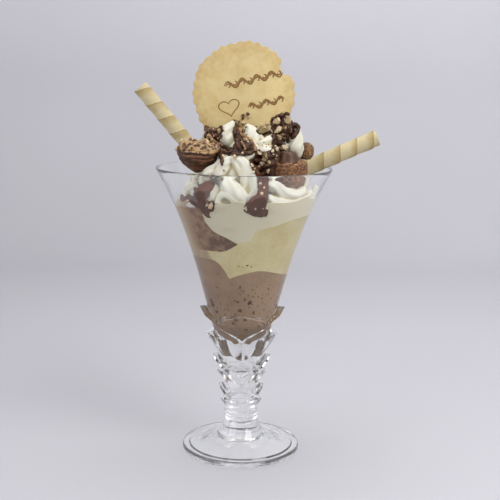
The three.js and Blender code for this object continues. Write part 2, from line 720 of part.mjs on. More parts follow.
const coupe = new THREE.Group();
coupe.add(
  glass,
  piece("chocolate_ice_cream", layers.lower, 0x87735f, 0.6),
  piece("vanilla_ice_cream", layers.vanilla, 0xb7af87, 0.55),
  piece("chocolate_scoop", layers.upper, 0x6b5646, 0.7),
  piece("whipped_cream", creamSolid(layers.everything, seats), 0xe6e4d8, 0.5),
  piece("wafer_disc", waferSolid(), 0xcfb77d, 0.85),
  piece("wafer_roll_left", rollSolid(ROLLS.left), 0xc8b47d, 0.85),
  piece("wafer_roll_right", rollSolid(ROLLS.right), 0xc8b47d, 0.85),
  piece("praline_left", pralineSolid(PRALINES.left), 0x5a3a28, 0.55),
  piece("praline_right", largestBody(rightPraline), 0x6a4a32, 0.6),
  piece("praline_small", pralineSolid(PRALINES.small), 0x7a5a3a, 0.6),
  piece("chocolate_cap", cap, 0x4a2f26, 0.35),
  piece("nut_cluster", clusterSolid(), 0x4f3524, 0.5),
);

export default coupe;
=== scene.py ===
import logging
import math
from contextlib import contextmanager
from dataclasses import dataclass
from enum import Enum
from typing import Callable, Iterable, Iterator, Sequence

import bmesh
import bpy
import numpy as np
from mathutils import Matrix, Vector
from mathutils.bvhtree import BVHTree


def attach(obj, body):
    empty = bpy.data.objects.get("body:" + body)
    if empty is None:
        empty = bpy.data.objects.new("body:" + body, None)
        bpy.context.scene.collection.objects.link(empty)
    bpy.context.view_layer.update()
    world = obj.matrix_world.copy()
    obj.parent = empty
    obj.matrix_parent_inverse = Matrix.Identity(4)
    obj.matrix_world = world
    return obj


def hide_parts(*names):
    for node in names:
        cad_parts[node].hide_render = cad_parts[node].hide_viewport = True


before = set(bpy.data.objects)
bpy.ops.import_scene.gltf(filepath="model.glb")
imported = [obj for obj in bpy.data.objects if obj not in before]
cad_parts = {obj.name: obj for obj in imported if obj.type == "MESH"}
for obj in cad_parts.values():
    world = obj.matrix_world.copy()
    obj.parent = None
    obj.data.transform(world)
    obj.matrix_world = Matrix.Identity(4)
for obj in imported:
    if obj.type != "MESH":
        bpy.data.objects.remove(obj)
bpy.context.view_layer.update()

# Looks of an ice cream coupe: pressed glass, ice cream, whipped cream, sauce, nuts, pralines and wafers.
# Sizes are in millimetres, as in the model's drawing, and become metres where a mesh is made.

MM = 0.001
ROOT = "root"
LOG = logging.getLogger("coupe")

Array = np.ndarray
Material = bpy.types.Material
Node = bpy.types.Node
Pair = tuple[float, float]
Piece = bpy.types.Object
Socket = bpy.types.NodeSocket
Triple = tuple[float, float, float]


class Fit(Enum):
    """How two solids are combined."""

    JOIN = "UNION"
    CUT = "DIFFERENCE"
    KEEP = "INTERSECT"


# Small maths


def clamp01(value: Array | float) -> Array | float:
    """The value held between 0 and 1."""
    return np.clip(value, 0.0, 1.0)


def smooth(start: float, end: float, value: Array | float) -> Array | float:
    """A soft step from 0 at start to 1 at end."""
    t = clamp01((value - start) / (end - start))
    return t * t * (3 - 2 * t)


def around(reach: Array | float, angle: Array | float) -> tuple[Array, Array]:
    """x and y at a distance from the axis, at an angle that grows from the front towards +X."""
    return reach * np.sin(angle), -reach * np.cos(angle)


def ripple(x: Array, y: Array, z: Array, seed: float) -> Array:
    """A soft unevenness between -1 and 1, made of a few waves."""
    a = np.sin(x * 0.9 + seed * 1.7 + 1.3 * np.sin(z * 0.6 + seed))
    b = np.sin(y * 1.1 + seed * 2.3 + 1.1 * np.sin(x * 0.7 - seed))
    c = np.sin(z * 1.3 + seed * 0.9 + 1.2 * np.sin(y * 0.8 + seed))
    return (a + b + c) / 3


# The place of the photograph's camera
EYE = (0.42, -648.6, 255.86)


def seen(x: Array | float, z: Array | float, depth: Array | float) -> Array:
    """The point at a depth that the photograph's eye sees at x and z on the plane through the axis.

    Args:
        x: the place to the right, on that plane.
        z: the height, on that plane.
        depth: y of the point; the front is negative.

    Returns:
        The point or points.
    """
    share = (np.asarray(depth) - EYE[1]) / -EYE[1]
    right, up = EYE[0] + (x - EYE[0]) * share, EYE[2] + (z - EYE[2]) * share
    return np.stack(np.broadcast_arrays(right, depth, up), -1)


def flowing(corners: Sequence[Sequence[float]], fine: int, closed: bool = False) -> Array:
    """A smooth curve through rows of numbers.

    Args:
        corners: the rows it passes through.
        fine: steps from one row to the next.
        closed: whether it returns to its start.

    Returns:
        The rows of the curve.
    """
    rows = np.asarray(corners, float)
    if closed:
        rows = np.vstack([rows[-1:], rows, rows[:2]])
    else:
        rows = np.vstack([2 * rows[:1] - rows[1:2], rows, 2 * rows[-1:] - rows[-2:-1]])
    a, b, c, d = rows[:-3, None], rows[1:-2, None], rows[2:-1, None], rows[3:, None]
    t = (np.arange(fine) / fine)[None, :, None]
    line = 0.5 * (2 * b + (c - a) * t + (2 * a - 5 * b + 4 * c - d) * t**2 + (3 * b - a - 3 * c + d) * t**3)
    line = line.reshape(-1, rows.shape[1])
    return line if closed else np.vstack([line, rows[-2:-1]])


# Materials: shader maths in Python


def operator(operation: str, swapped: bool = False) -> Callable[["Value", "Value | float"], "Value"]:
    """A method of Value that adds one Math node.

    Args:
        operation: the node's operation.
        swapped: whether the other number comes first.

    Returns:
        The method.
    """

    def apply(self: "Value", other: "Value | float") -> "Value":
        """The operation's result."""
        terms = (other, self) if swapped else (self, other)
        node = self.sheet.node("ShaderNodeMath", {"operation": operation}, dict(enumerate(terms)))
        return Value(self.sheet, node.outputs[0])

    return apply


class Value:
    """A number on a material's sheet, on which Python's operators add Math nodes."""

    __add__ = __radd__ = operator("ADD")
    __mul__ = __rmul__ = operator("MULTIPLY")
    __sub__ = operator("SUBTRACT")
    __rsub__ = operator("SUBTRACT", swapped=True)

    def __init__(self, sheet: "Sheet", socket: Socket) -> None:
        """Wraps a socket.

        Args:
            sheet: the sheet that owns the socket.
            socket: the output socket that carries the number.
        """
        self.sheet = sheet
        self.socket = socket

    def step(self, low: float, high: float) -> "Value":
        """A soft step from 0 at low to 1 at high.

        Args:
            low: the value that gives 0.
            high: the value that gives 1.

        Returns:
            The stepped value.
        """
        settings = {"interpolation_type": "SMOOTHSTEP"}
        inputs = {"Value": self, "From Min": low, "From Max": high}
        node = self.sheet.node("ShaderNodeMapRange", settings, inputs)
        return Value(self.sheet, node.outputs["Result"])


def add_node(tree: bpy.types.NodeTree, kind: str, settings: dict, inputs: dict) -> Node:
    """Adds any node to a tree.

    Args:
        tree: the tree.
        kind: the node's type.
        settings: its own settings, set first.
        inputs: values or links by socket name or number; a name finds the socket in use.

    Returns:
        The new node.
    """
    node = tree.nodes.new(kind)
    for key, value in settings.items():
        setattr(node, key, value)
    for key, value in inputs.items():
        if isinstance(key, str):
            socket = next(s for s in node.inputs if s.name == key and s.enabled)
        else:
            socket = node.inputs[key]
        source = value.socket if isinstance(value, Value) else value
        if isinstance(source, Socket):
            tree.links.new(source, socket)
        elif isinstance(source, tuple) and socket.type == "RGBA":
            socket.default_value = (*source, 1.0)
        else:
            socket.default_value = source
    return node


Colour = Triple

# What lies against the glass is dull
PRESSED = {"Roughness": 0.8, "Specular_IOR_Level": 0.02}


def tint(red: int, green: int, blue: int) -> Colour:
    """A picture colour as linear light.

    Args:
        red: red from 0 to 255.
        green: green from 0 to 255.
        blue: blue from 0 to 255.

    Returns:
        The three linear parts.
    """
    parts = (channel / 255 for channel in (red, green, blue))
    return tuple(c / 12.92 if c <= 0.04045 else ((c + 0.055) / 1.055) ** 2.4 for c in parts)


class Sheet:
    """A material's node tree with short ways to add what the finishes use."""

    def __init__(self, name: str) -> None:
        """Starts an empty material.

        Args:
            name: its name.
        """
        self.material = bpy.data.materials.new(name)
        self.material.use_nodes = True
        self.tree = self.material.node_tree
        self.tree.nodes.clear()
        coordinates = self.node("ShaderNodeTexCoord", {}, {})
        self.place = coordinates.outputs["Object"]

    def node(self, kind: str, settings: dict, inputs: dict) -> Node:
        """Adds any node, as add_node does."""
        return add_node(self.tree, kind, settings, inputs)

    def noise(self, size: float, detail: float = 3.0, stretch: Triple = (1, 1, 1)) -> Value:
        """Soft noise over the object.

        Args:
            size: the size of its spots in millimetres.
            detail: how many finer layers it has.
            stretch: how much longer the spots are along X, Y and Z.

        Returns:
            The noise from 0 to 1.
        """
        scale = tuple(1 / (size * MM * s) for s in stretch)
        mapping = self.node("ShaderNodeMapping", {}, {"Vector": self.place, "Scale": scale})
        inputs = {"Vector": mapping.outputs[0], "Scale": 1.0, "Detail": detail}
        node = self.node("ShaderNodeTexNoise", {}, inputs)
        return Value(self, node.outputs["Fac"])

    def axis(self, name: str) -> Value:
        """The place along X, Y or Z, in millimetres."""
        node = self.node("ShaderNodeSeparateXYZ", {}, {"Vector": self.place})
        return Value(self, node.outputs[name]) * (1 / MM)

    def attribute(self, name: str) -> Value:
        """A number stored on the piece's own mesh."""
        node = self.node("ShaderNodeAttribute", {"attribute_name": name}, {})
        return Value(self, node.outputs["Fac"])

    def blend(self, share: Value, first: object, second: object) -> Socket:
        """A mix of two colours.

        Args:
            share: how much of the second colour.
            first: the first colour, as parts or a socket.
            second: the second colour, as parts or a socket.

        Returns:
            The mixed colour's socket.
        """
        settings = {"data_type": "RGBA"}
        node = self.node("ShaderNodeMix", settings, {0: share, 6: first, 7: second})
        return node.outputs[2]

    def relief(self, height: Value, depth: float, strength: float = 1.0) -> Socket:
        """A normal bent by a height.

        Args:
            height: the height from 0 to 1.
            depth: what 1 stands for, in millimetres.
            strength: how strongly it shows.

        Returns:
            The normal's socket.
        """
        inputs = {"Height": height, "Distance": depth * MM, "Strength": strength}
        return self.node("ShaderNodeBump", {}, inputs).outputs["Normal"]

    def close(self, **surface: object) -> Material:
        """Adds the surface and ends the material.

        Args:
            surface: the Principled shader's inputs, with _ for spaces.

        Returns:
            The material.
        """
        inputs = {key.replace("_", " "): value for key, value in surface.items()}
        shader = self.node("ShaderNodeBsdfPrincipled", {}, inputs)
        self.node("ShaderNodeOutputMaterial", {}, {"Surface": shader.outputs[0]})
        return self.material


@dataclass(frozen=True)
class ClearGlass:
    """Clear pressed glass with a fire-polished skin, through which the lamps shine on what it holds."""

    colour: Colour = (0.985, 0.992, 0.988)
    passing: Colour = (0.87, 0.872, 0.875)
    index: float = 1.46
    roughness: float = 0.015
    clearness: float = 0.975

    def make(self) -> Material:
        """The glass material."""
        sheet = Sheet("clear_glass")
        surface = {"Base Color": self.colour, "Roughness": self.roughness, "IOR": self.index}
        surface["Transmission Weight"] = self.clearness
        pressed = sheet.noise(3.2, 2) * (1 - sheet.axis("Z").step(94, 106)) * 6
        surface["Normal"] = sheet.relief(sheet.noise(9, 1) + pressed, 0.05, 0.25)
        glass = sheet.node("ShaderNodeBsdfPrincipled", {}, surface)
        passed = sheet.node("ShaderNodeBsdfTransparent", {}, {"Color": self.passing})
        to_lamp = sheet.node("ShaderNodeLightPath", {}, {}).outputs["Is Shadow Ray"]
        mixed = sheet.node("ShaderNodeMixShader", {}, {0: to_lamp, 1: glass.outputs[0], 2: passed.outputs[0]})
        sheet.node("ShaderNodeOutputMaterial", {}, {"Surface": mixed.outputs[0]})
        return sheet.material


@dataclass(frozen=True)
class IceCream:
    """Ice cream pressed against glass: two tones, a pale bloom and a fine grain."""

    name: str
    dark: Colour
    light: Colour
    bloom: Colour
    patch: float = 9.0
    grain: float = 1.1
    bloom_share: float = 0.5
    tilt: float = 0.0
    middle: float = 0.0
    smear: Colour | None = None
    smear_reach: Pair = (4, 12)
    smear_line: Pair = (0.366, 18.4)

    def make(self) -> Material:
        """The ice cream material."""
        sheet = Sheet(self.name)
        broad = sheet.noise(self.patch, 4)
        fine = sheet.noise(self.grain, 3)
        share = (broad * 0.75 + fine * 0.35 + (sheet.axis("X") - self.middle) * self.tilt).step(0.38, 0.72)
        colour = sheet.blend(share, self.dark, self.light)
        if self.smear:
            slope, offset = self.smear_line
            from_wall = sheet.axis("X") + sheet.axis("Z") * slope - offset
            smeared = 1 - (from_wall + broad * 6).step(*self.smear_reach)
            colour = sheet.blend(smeared * 0.75, colour, self.smear)
        frost = sheet.noise(self.patch * 0.55, 5).step(0.55, 0.78) * self.bloom_share
        colour = sheet.blend(frost, colour, self.bloom)
        return sheet.close(
            Base_Color=colour,
            Roughness=0.6 + fine * 0.25,
            Normal=sheet.relief(fine, 0.25, 0.5),
            IOR=1.35,
            Specular_IOR_Level=0.08,
        )


@dataclass(frozen=True)
class SoftCream:
    """Whipped cream: warm white with painted yellow shade in its hollows, duller where it is pressed against
    the glass.
    """

    light: Colour = tint(207, 204, 190)
    # Yellow of the creases: painted shade, mixed with soft random patches of the same tone.
    warm_and_crease_shade: Colour = tint(180, 170, 130)
    pressed: Colour = tint(203, 197, 175)
    pressed_warm: Colour = tint(189, 181, 151)
    pressed_right: Colour = tint(217, 210, 188)

    def make(self) -> Material:
        """The free cream's material."""
        sheet = Sheet("whipped_cream")
        # Painted shade: the crease depth in the hollow attribute yellows the cream, along with some random
        # patches.
        share = sheet.noise(8, 3).step(0.45, 0.72) * 0.35 + sheet.attribute("hollow") * 0.9
        colour = sheet.blend(share.step(0.0, 1.0), self.light, self.warm_and_crease_shade)
        fine = sheet.noise(0.9, 3)
        return sheet.close(
            Base_Color=colour,
            Roughness=0.45 + fine * 0.15,
            Normal=sheet.relief(fine, 0.12, 0.35),
            Subsurface_Weight=0.12,
            Subsurface_Radius=(0.003, 0.0022, 0.0014),
            Subsurface_Scale=0.5,
            IOR=1.38,
            Specular_IOR_Level=0.3,
        )

    def make_pressed(self) -> Material:
        """The material of the cream at the glass, with soft streaks of vanilla."""
        sheet = Sheet("pressed_cream")
        streaks = sheet.noise(7, 4, (2.6, 2.6, 1)).step(0.46, 0.7) * 0.7
        colour = sheet.blend(streaks, self.pressed, self.pressed_warm)
        colour = sheet.blend(sheet.axis("X").step(10, 44), colour, self.pressed_right)
        return sheet.close(Base_Color=colour, **PRESSED)


@dataclass(frozen=True)
class Syrup:
    """Dark chocolate sauce, glossy where it is free and dull where it is pressed against the glass."""

    deep: Colour = tint(50, 29, 19)
    thin: Colour = tint(98, 64, 42)
    pressed: Colour = tint(76, 35, 12)
    roughness: float = 0.36

    def make(self) -> Material:
        """The free sauce's material."""
        sheet = Sheet("chocolate_sauce")
        share = sheet.noise(3.2, 4).step(0.42, 0.72) * 0.75
        colour = sheet.blend(share, self.deep, self.thin)
        swell = sheet.relief(sheet.noise(1.6, 3), 0.3, 0.6)
        return sheet.close(
            Base_Color=colour,
            Roughness=self.roughness,
            Normal=swell,
            IOR=1.45,
            Coat_Weight=0.1,
            Specular_IOR_Level=0.22,
        )

    def make_pressed(self) -> Material:
        """The material of the sauce at the glass."""
        sheet = Sheet("pressed_sauce")
        share = sheet.noise(4, 3).step(0.4, 0.7)
        colour = sheet.blend(share, self.pressed, tint(89, 49, 24))
        return sheet.close(Base_Color=colour, **PRESSED)


@dataclass(frozen=True)
class Caramel:
    """Brown caramel, drawn in strands."""

    dark: Colour = tint(112, 74, 44)
    light: Colour = tint(168, 126, 80)

    def make(self) -> Material:
        """The caramel's material."""
        sheet = Sheet("caramel")
        share = sheet.noise(2.2, 3).step(0.4, 0.65)
        colour = sheet.blend(share, self.dark, self.light)
        return sheet.close(Base_Color=colour, Roughness=0.4, Normal=sheet.relief(share, 0.2, 0.4))


@dataclass(frozen=True)
class BakedWafer:
    """A pale baked wafer with a browner edge, a dry, pitted skin, and painted light that lightens its right
    side.
    """

    light: Colour = tint(207, 188, 139)
    brown: Colour = tint(198, 173, 120)
    edge: Colour = tint(180, 151, 101)
    # Painted light: the lighter colour that the right side is blended towards.
    right: Colour = tint(228, 205, 148)

    def make(self) -> Material:
        """The wafer material."""
        sheet = Sheet("baked_wafer")
        share = sheet.noise(8, 5).step(0.35, 0.72)
        colour = sheet.blend(share, self.light, self.brown)
        # Painted light: lighter towards the right.
        colour = sheet.blend(sheet.axis("X").step(-5, 32) * 0.6, colour, self.right)
        toast = (sheet.attribute("rim") * 0.8 + sheet.noise(3, 3) * 0.5).step(0.75, 1.15) * 0.6
        colour = sheet.blend(toast, colour, self.edge)
        pits = sheet.noise(0.8, 4)
        return sheet.close(Base_Color=colour, Roughness=0.85, Normal=sheet.relief(pits, 0.3, 0.6), IOR=1.3)


@dataclass(frozen=True)
class RolledWafer:
    """A rolled wafer: pale bands with toasted seams that wind round it."""

    light: Colour = tint(192, 179, 142)
    band: Colour = tint(168, 149, 105)
    seam: Colour = tint(134, 110, 70)

    def make(self) -> Material:
        """The rolled wafer material."""
        sheet = Sheet("rolled_wafer")
        winding = sheet.attribute("winding")
        fine = sheet.noise(1.0, 4)
        toasted = (winding + (sheet.noise(6, 3) - 0.5) * 0.9).step(0.35, 0.95)
        colour = sheet.blend(toasted, self.light, self.band)
        line = (winding + fine * 0.1).step(0.93, 1.02) * 0.7
        colour = sheet.blend(line, colour, self.seam)
        return sheet.close(Base_Color=colour, Roughness=0.8, Normal=sheet.relief(fine, 0.3, 0.6), IOR=1.3)


@dataclass(frozen=True)
class Toast:
    """Browned marks burnt into the wafer."""

    colour: Colour = tint(150, 118, 74)

    def make(self) -> Material:
        """The burnt mark's material."""
        sheet = Sheet("burnt_mark")
        share = sheet.noise(1.4, 3)
        colour = sheet.blend(share, self.colour, tint(122, 90, 54))
        return sheet.close(Base_Color=colour, Roughness=0.85, IOR=1.3)


@dataclass(frozen=True)
class Praline:
    """Nutty chocolate in uneven layers, with a slight gloss."""

    name: str
    dark: Colour
    mid: Colour
    light: Colour
    layer: float = 1.6
    run: float = 5
    paste: Colour = tint(176, 146, 100)

    def make(self) -> Material:
        """The praline material."""
        sheet = Sheet(self.name)
        layers = sheet.noise(self.layer, 5, (self.run, self.run, 1))
        colour = sheet.blend(layers.step(0.42, 0.66), self.dark, self.mid)
        flecks = sheet.noise(1.3, 3, (1.6, 1.6, 1)).step(0.62, 0.72)
        colour = sheet.blend(flecks, colour, self.light)
        crust = sheet.attribute("crown") * sheet.noise(3.4, 5).step(0.46, 0.56) * 0.9
        colour = sheet.blend(crust, colour, self.paste)
        grain = layers * 0.6 + sheet.noise(0.7, 3) * 0.4
        return sheet.close(
            Base_Color=colour, Roughness=0.38 + grain * 0.3, Normal=sheet.relief(grain, 0.6, 0.7), IOR=1.42
        )


@dataclass(frozen=True)
class MouldedChocolate:
    """Smooth moulded chocolate."""

    colour: Colour = tint(68, 41, 27)

    def make(self) -> Material:
        """The moulded chocolate's material."""
        sheet = Sheet("moulded_chocolate")
        share = sheet.noise(4, 3)
        colour = sheet.blend(share, self.colour, tint(84, 55, 38))
        return sheet.close(Base_Color=colour, Roughness=0.42, Normal=sheet.relief(share, 0.2, 0.3), IOR=1.42)


@dataclass(frozen=True)
class NutFlesh:
    """Chopped nut: cream-coloured flesh, toasted bits and dark skin."""

    pale: Colour = tint(206, 184, 150)
    toasted: Colour = tint(172, 140, 90)
    skin: Colour = tint(84, 56, 37)

    def make(self) -> Material:
        """The nut material."""
        sheet = Sheet("chopped_nut")
        tone = sheet.attribute("tone")
        colour = sheet.blend(tone.step(0.3, 0.75), self.pale, self.toasted)
        peel = (tone * 0.5 + sheet.noise(1.5, 4) * 0.9).step(0.74, 0.86)
        colour = sheet.blend(peel, colour, self.skin)
        grain = sheet.relief(sheet.noise(0.6, 3), 0.2, 0.5)
        return sheet.close(Base_Color=colour, Roughness=0.55, Normal=grain)


# Meshes


def piece_from(name: str, points: Array, faces: Sequence[Sequence[int]]) -> Piece:
    """A new object from points in millimetres.

    Args:
        name: its name.
        points: an array of points, one row each.
        faces: the corners of each face.

    Returns:
        The object, linked to the scene.
    """
    mesh = bpy.data.meshes.new(name)
    mesh.from_pydata((np.asarray(points, float) * MM).tolist(), [], faces)
    mesh.update()
    return piece_of(name, mesh)


def piece_of(name: str, mesh: bpy.types.ID) -> Piece:
    """A new object of a mesh, a camera or a lamp, linked to the scene."""
    piece = bpy.data.objects.new(name, mesh)
    bpy.context.scene.collection.objects.link(piece)
    return piece


def drop(piece: Piece) -> None:
    """Removes an object and its mesh."""
    mesh = piece.data
    bpy.data.objects.remove(piece)
    if mesh.users == 0:
        bpy.data.meshes.remove(mesh)


def settle(piece: Piece) -> Piece:
    """Applies all modifiers of a piece.

    Args:
        piece: the piece, with its modifiers.

    Returns:
        The same piece, with a plain mesh.
    """
    bpy.context.view_layer.update()
    graph = bpy.context.evaluated_depsgraph_get()
    mesh = bpy.data.meshes.new_from_object(piece.evaluated_get(graph))
    old = piece.data
    piece.modifiers.clear()
    piece.data = mesh
    if old.users == 0:
        bpy.data.meshes.remove(old)
    return piece


def modified(piece: Piece, kind: str, **settings: object) -> Piece:
    """Applies one modifier to a piece.

    Args:
        piece: the piece.
        kind: the modifier's type.
        settings: its settings.

    Returns:
        The same piece.
    """
    modifier = piece.modifiers.new(kind.lower(), kind)
    for key, value in settings.items():
        setattr(modifier, key, value)
    return settle(piece)


def combine(piece: Piece, tool: Piece, fit: Fit) -> Piece:
    """Joins, cuts or intersects a piece with a tool, which goes.

    Args:
        piece: the piece that changes.
        tool: the other solid.
        fit: how they are combined.

    Returns:
        The same piece.
    """
    modified(piece, "BOOLEAN", operation=fit.value, object=tool, solver="MANIFOLD")
    drop(tool)
    return piece


def rounded_off(piece: Piece, voxel: float) -> Piece:
    """Makes one soft skin of whatever a piece holds.

    Args:
        piece: the piece.
        voxel: the size of its grid in millimetres.

    Returns:
        The same piece.
    """
    modified(piece, "REMESH", mode="VOXEL", voxel_size=voxel * MM)
    return modified(piece, "SMOOTH", factor=0.5, iterations=2)


def merged(name: str, pieces: Iterable[Piece]) -> Piece:
    """Several meshes as one object; the old objects go.

    Args:
        name: the new object's name.
        pieces: the objects to put together.

    Returns:
        The new object.
    """
    sheet = bmesh.new()
    for piece in list(pieces):
        sheet.from_mesh(piece.data)
        drop(piece)
    mesh = bpy.data.meshes.new(name)
    sheet.to_mesh(mesh)
    sheet.free()
    return piece_of(name, mesh)


@contextmanager
def edited(piece: Piece) -> Iterator[bmesh.types.BMesh]:
    """A piece's mesh opened for editing, and written back at the end."""
    sheet = bmesh.new()
    sheet.from_mesh(piece.data)
    yield sheet
    sheet.to_mesh(piece.data)
    sheet.free()


def facing_out(piece: Piece) -> Piece:
    """Turns a closed piece's faces outwards."""
    with edited(piece) as sheet:
        bmesh.ops.recalc_face_normals(sheet, faces=sheet.faces)
    return piece


def largest(piece: Piece) -> Piece:
    """Keeps a piece's largest connected body, by number of points."""
    with edited(piece) as sheet:
        left = set(sheet.verts)
        best: set = set()
        while left:
            start = next(iter(left))
            body = {start}
            edge = [start]
            while edge:
                point = edge.pop()
                near = {link.other_vert(point) for link in point.link_edges} - body
                body |= near
                edge += near
            left -= body
            best = max(best, body, key=len)
        bmesh.ops.delete(sheet, geom=[v for v in sheet.verts if v not in best], context="VERTS")
    return piece


def points_of(piece: Piece) -> tuple[Array, Array]:
    """A piece's points in millimetres, and their normals."""
    found = []
    for key in ("co", "normal"):
        values = np.empty(len(piece.data.vertices) * 3)
        piece.data.vertices.foreach_get(key, values)
        found.append(values.reshape(-1, 3))
    return found[0] / MM, found[1]


def store(piece: Piece, name: str, values: Array) -> Piece:
    """Stores a number on each point of a piece.

    Args:
        piece: the piece.
        name: the attribute's name.
        values: the number of each point.

    Returns:
        The same piece.
    """
    attribute = piece.data.attributes.new(name, "FLOAT", "POINT")
    attribute.data.foreach_set("value", np.asarray(values, float))
    return piece


def ringed(rings: int, sides: int) -> list[tuple[int, ...]]:
    """The faces of a closed skin whose points are a pole, its rings one after another, and a second pole.

    Args:
        rings: how many rings.
        sides: points round each ring.

    Returns:
        The corners of each face.
    """
    faces = []
    end = 1 + (rings - 1) * sides
    for s in range(sides):
        t = (s + 1) % sides
        faces.append((0, 1 + t, 1 + s))
        faces.append((end + s, end + t, end + sides))
        for low in range(1, end, sides):
            high = low + sides
            faces.append((low + s, low + t, high + t, high + s))
    return faces


Placer = Callable[[Array, Array], tuple[Array, Array, Array]]


def skin(name: str, rows: int, segments: int, place: Placer) -> Piece:
    """A closed skin from a lower pole to an upper pole.

    Args:
        name: its name.
        rows: rows of points, with both poles.
        segments: points round each ring.
        place: gives x, y and z for each row number and angle; the angle grows from the front towards +X.

    Returns:
        The object.
    """
    row, segment = np.meshgrid(np.arange(rows), np.arange(segments), indexing="ij")
    x, y, z = place(row.astype(float), segment * 2 * math.pi / segments)
    points = np.stack(np.broadcast_arrays(x, y, z), -1).reshape(-1, 3)
    points = np.vstack([points[:1], points[segments:-segments], points[-1:]])
    return piece_from(name, points, ringed(rows - 2, segments))


def swept(name: str, path: Array, reach: Array, across: Array, up: Array) -> Piece:
    """A closed tube along a path of points.

    Args:
        name: its name.
        path: the points in millimetres.
        reach: the radius at each point and side.
        across: the direction at each point in which the first side lies.
        up: the direction a quarter turn on.

    Returns:
        The tube, with its faces turned outwards.
    """
    sides = reach.shape[1]
    turn = np.arange(sides) * 2 * math.pi / sides
    spoke = np.cos(turn)[:, None] * across[:, None] + np.sin(turn)[:, None] * up[:, None]
    rings = path[:, None] + reach[..., None] * spoke
    points = np.vstack([path[:1], rings.reshape(-1, 3), path[-1:]])
    return facing_out(piece_from(name, points, ringed(len(path), sides)))


def directions(path: Array) -> Array:
    """The direction of a path at each of its points."""
    ahead = np.gradient(path, axis=0)
    return ahead / (np.linalg.norm(ahead, axis=1)[:, None] + 1e-9)


def rope(name: str, path: Array, reach: Array, sides: int = 8) -> Piece:
    """A closed tube along a path of points, with its first side to the right as seen from the front.

    Args:
        name: its name.
        path: the points in millimetres.
        reach: the radius at each point, or at each point and side.
        sides: corners of its section.

    Returns:
        The tube.
    """
    ahead = directions(path)
    across = np.cross(ahead, (0.0, 1.0, 0.0))
    across /= np.linalg.norm(across, axis=1)[:, None] + 1e-9
    radius = np.broadcast_to(np.asarray(reach, float).reshape(len(path), -1), (len(path), sides))
    return swept(name, path, radius, across, np.cross(across, ahead))


def rounded(path: Array, radii: Array) -> Array:
    """Radii along a path that close to round ends.

    Args:
        path: the points.
        radii: the radius at each point.

    Returns:
        The radii with both ends rounded.
    """
    run = np.concatenate([[0], np.cumsum(np.linalg.norm(np.diff(path, axis=0), axis=1))])
    left = np.minimum(run / radii[0], 1)
    right = np.minimum((run[-1] - run) / radii[-1], 1)
    for end in (left, right):
        radii = radii * np.sqrt(np.maximum(1 - (1 - end) ** 2, 0.01))
    return radii


def lump(name: str, at: Sequence[float], radii: Sequence[float], rough: float, seed: int) -> Piece:
    """An uneven rounded lump.

    Args:
        name: its name.
        at: its centre.
        radii: its radius along X, Y and Z.
        rough: how uneven it is.
        seed: which unevenness it has.

    Returns:
        The lump.
    """
    rows = 44

    def place(row: Array, angle: Array) -> tuple:
        """The point of a row."""
        arc = math.pi * (row / (rows - 1) - 0.5)
        x, y, z = np.cos(arc) * np.sin(angle), -np.cos(arc) * np.cos(angle), np.sin(arc)
        swell = 1 + rough * ripple(x * 3, y * 3, z * 3, seed)
        swell = swell + 0.3 * rough * ripple(x * 9, y * 9, z * 9, seed + 2)
        return tuple(centre + part * radius * swell for centre, part, radius in zip(at, (x, y, z), radii))

    return skin(name, rows, 64, place)


def laid(line: Array, onto: BVHTree, lift: Array | float) -> Array:
    """A line, given as the eye sees it, laid on what the eye meets there.

    Args:
        line: x and z on the plane through the axis.
        onto: the surfaces, in metres.
        lift: how far towards the eye it is lifted.

    Returns:
        The points; where the eye meets nothing, the depth runs on between its neighbours.
    """
    eye = Vector(EYE) * MM
    depth = np.full(len(line), np.nan)
    for i, (x, z) in enumerate(line):
        ahead = (Vector((x, 0, z)) * MM - eye).normalized()
        hit = onto.ray_cast(eye, ahead)[0]
        if hit is not None and hit.y < 0.02:
            depth[i] = hit.y / MM
    known = np.flatnonzero(~np.isnan(depth))
    if not len(known):
        depth[0], known = onto.find_nearest(Vector(seen(*line[0], -12)) * MM)[0].y / MM, [0]
    depth = np.interp(np.arange(len(line)), known, depth[known])
    padded = np.pad(depth, 2, mode="edge")
    depth = np.mean([padded[k : k + len(line)] for k in range(5)], axis=0)
    return seen(line[:, 0], line[:, 1], depth - lift)


def turned(name: str, profile: Sequence[Pair], segments: int) -> Piece:
    """A turned solid about Z.

    Args:
        name: its name.
        profile: radius and height of each ring, from the lower pole to the upper one.
        segments: points round each ring.

    Returns:
        The object.
    """
    outline = np.asarray(profile, float)

    def place(row: Array, angle: Array) -> tuple:
        """The point of a ring."""
        radius = outline[row.astype(int), 0]
        return *around(radius, angle), outline[row.astype(int), 1]

    return skin(name, len(outline), segments, place)


def surfaces(pieces: Iterable[Piece]) -> BVHTree:
    """The surfaces of some pieces, for sight lines.

    Args:
        pieces: the pieces.

    Returns:
        Their joint search tree, in metres.
    """
    sheet = bmesh.new()
    for piece in pieces:
        sheet.from_mesh(piece.data)
    tree = BVHTree.FromBMesh(sheet)
    sheet.free()
    return tree


def shaded(piece: Piece, material: Material, crease: float = 180.0) -> Piece:
    """Gives a piece its material and smooth shading.

    Args:
        piece: the piece.
        material: its only material.
        crease: the angle in degrees above which an edge stays sharp.

    Returns:
        The same piece.
    """
    piece.data.materials.clear()
    piece.data.materials.append(material)
    piece.data.shade_smooth()
    if crease < 180:
        piece.data.set_sharp_from_angle(angle=math.radians(crease))
    return piece


def enter(piece: Piece, slot: str, *nodes: str) -> Piece:
    """Enters a finished piece in the frame and reports it.

    Args:
        piece: the finished piece.
        slot: not used.
        nodes: the model's nodes that it stands for.

    Returns:
        The same piece.
    """
    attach(piece, ROOT)
    if nodes:
        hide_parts(*nodes)
    LOG.info("%s: %d faces", piece.name, len(piece.data.polygons))
    return piece


# Geometry Nodes


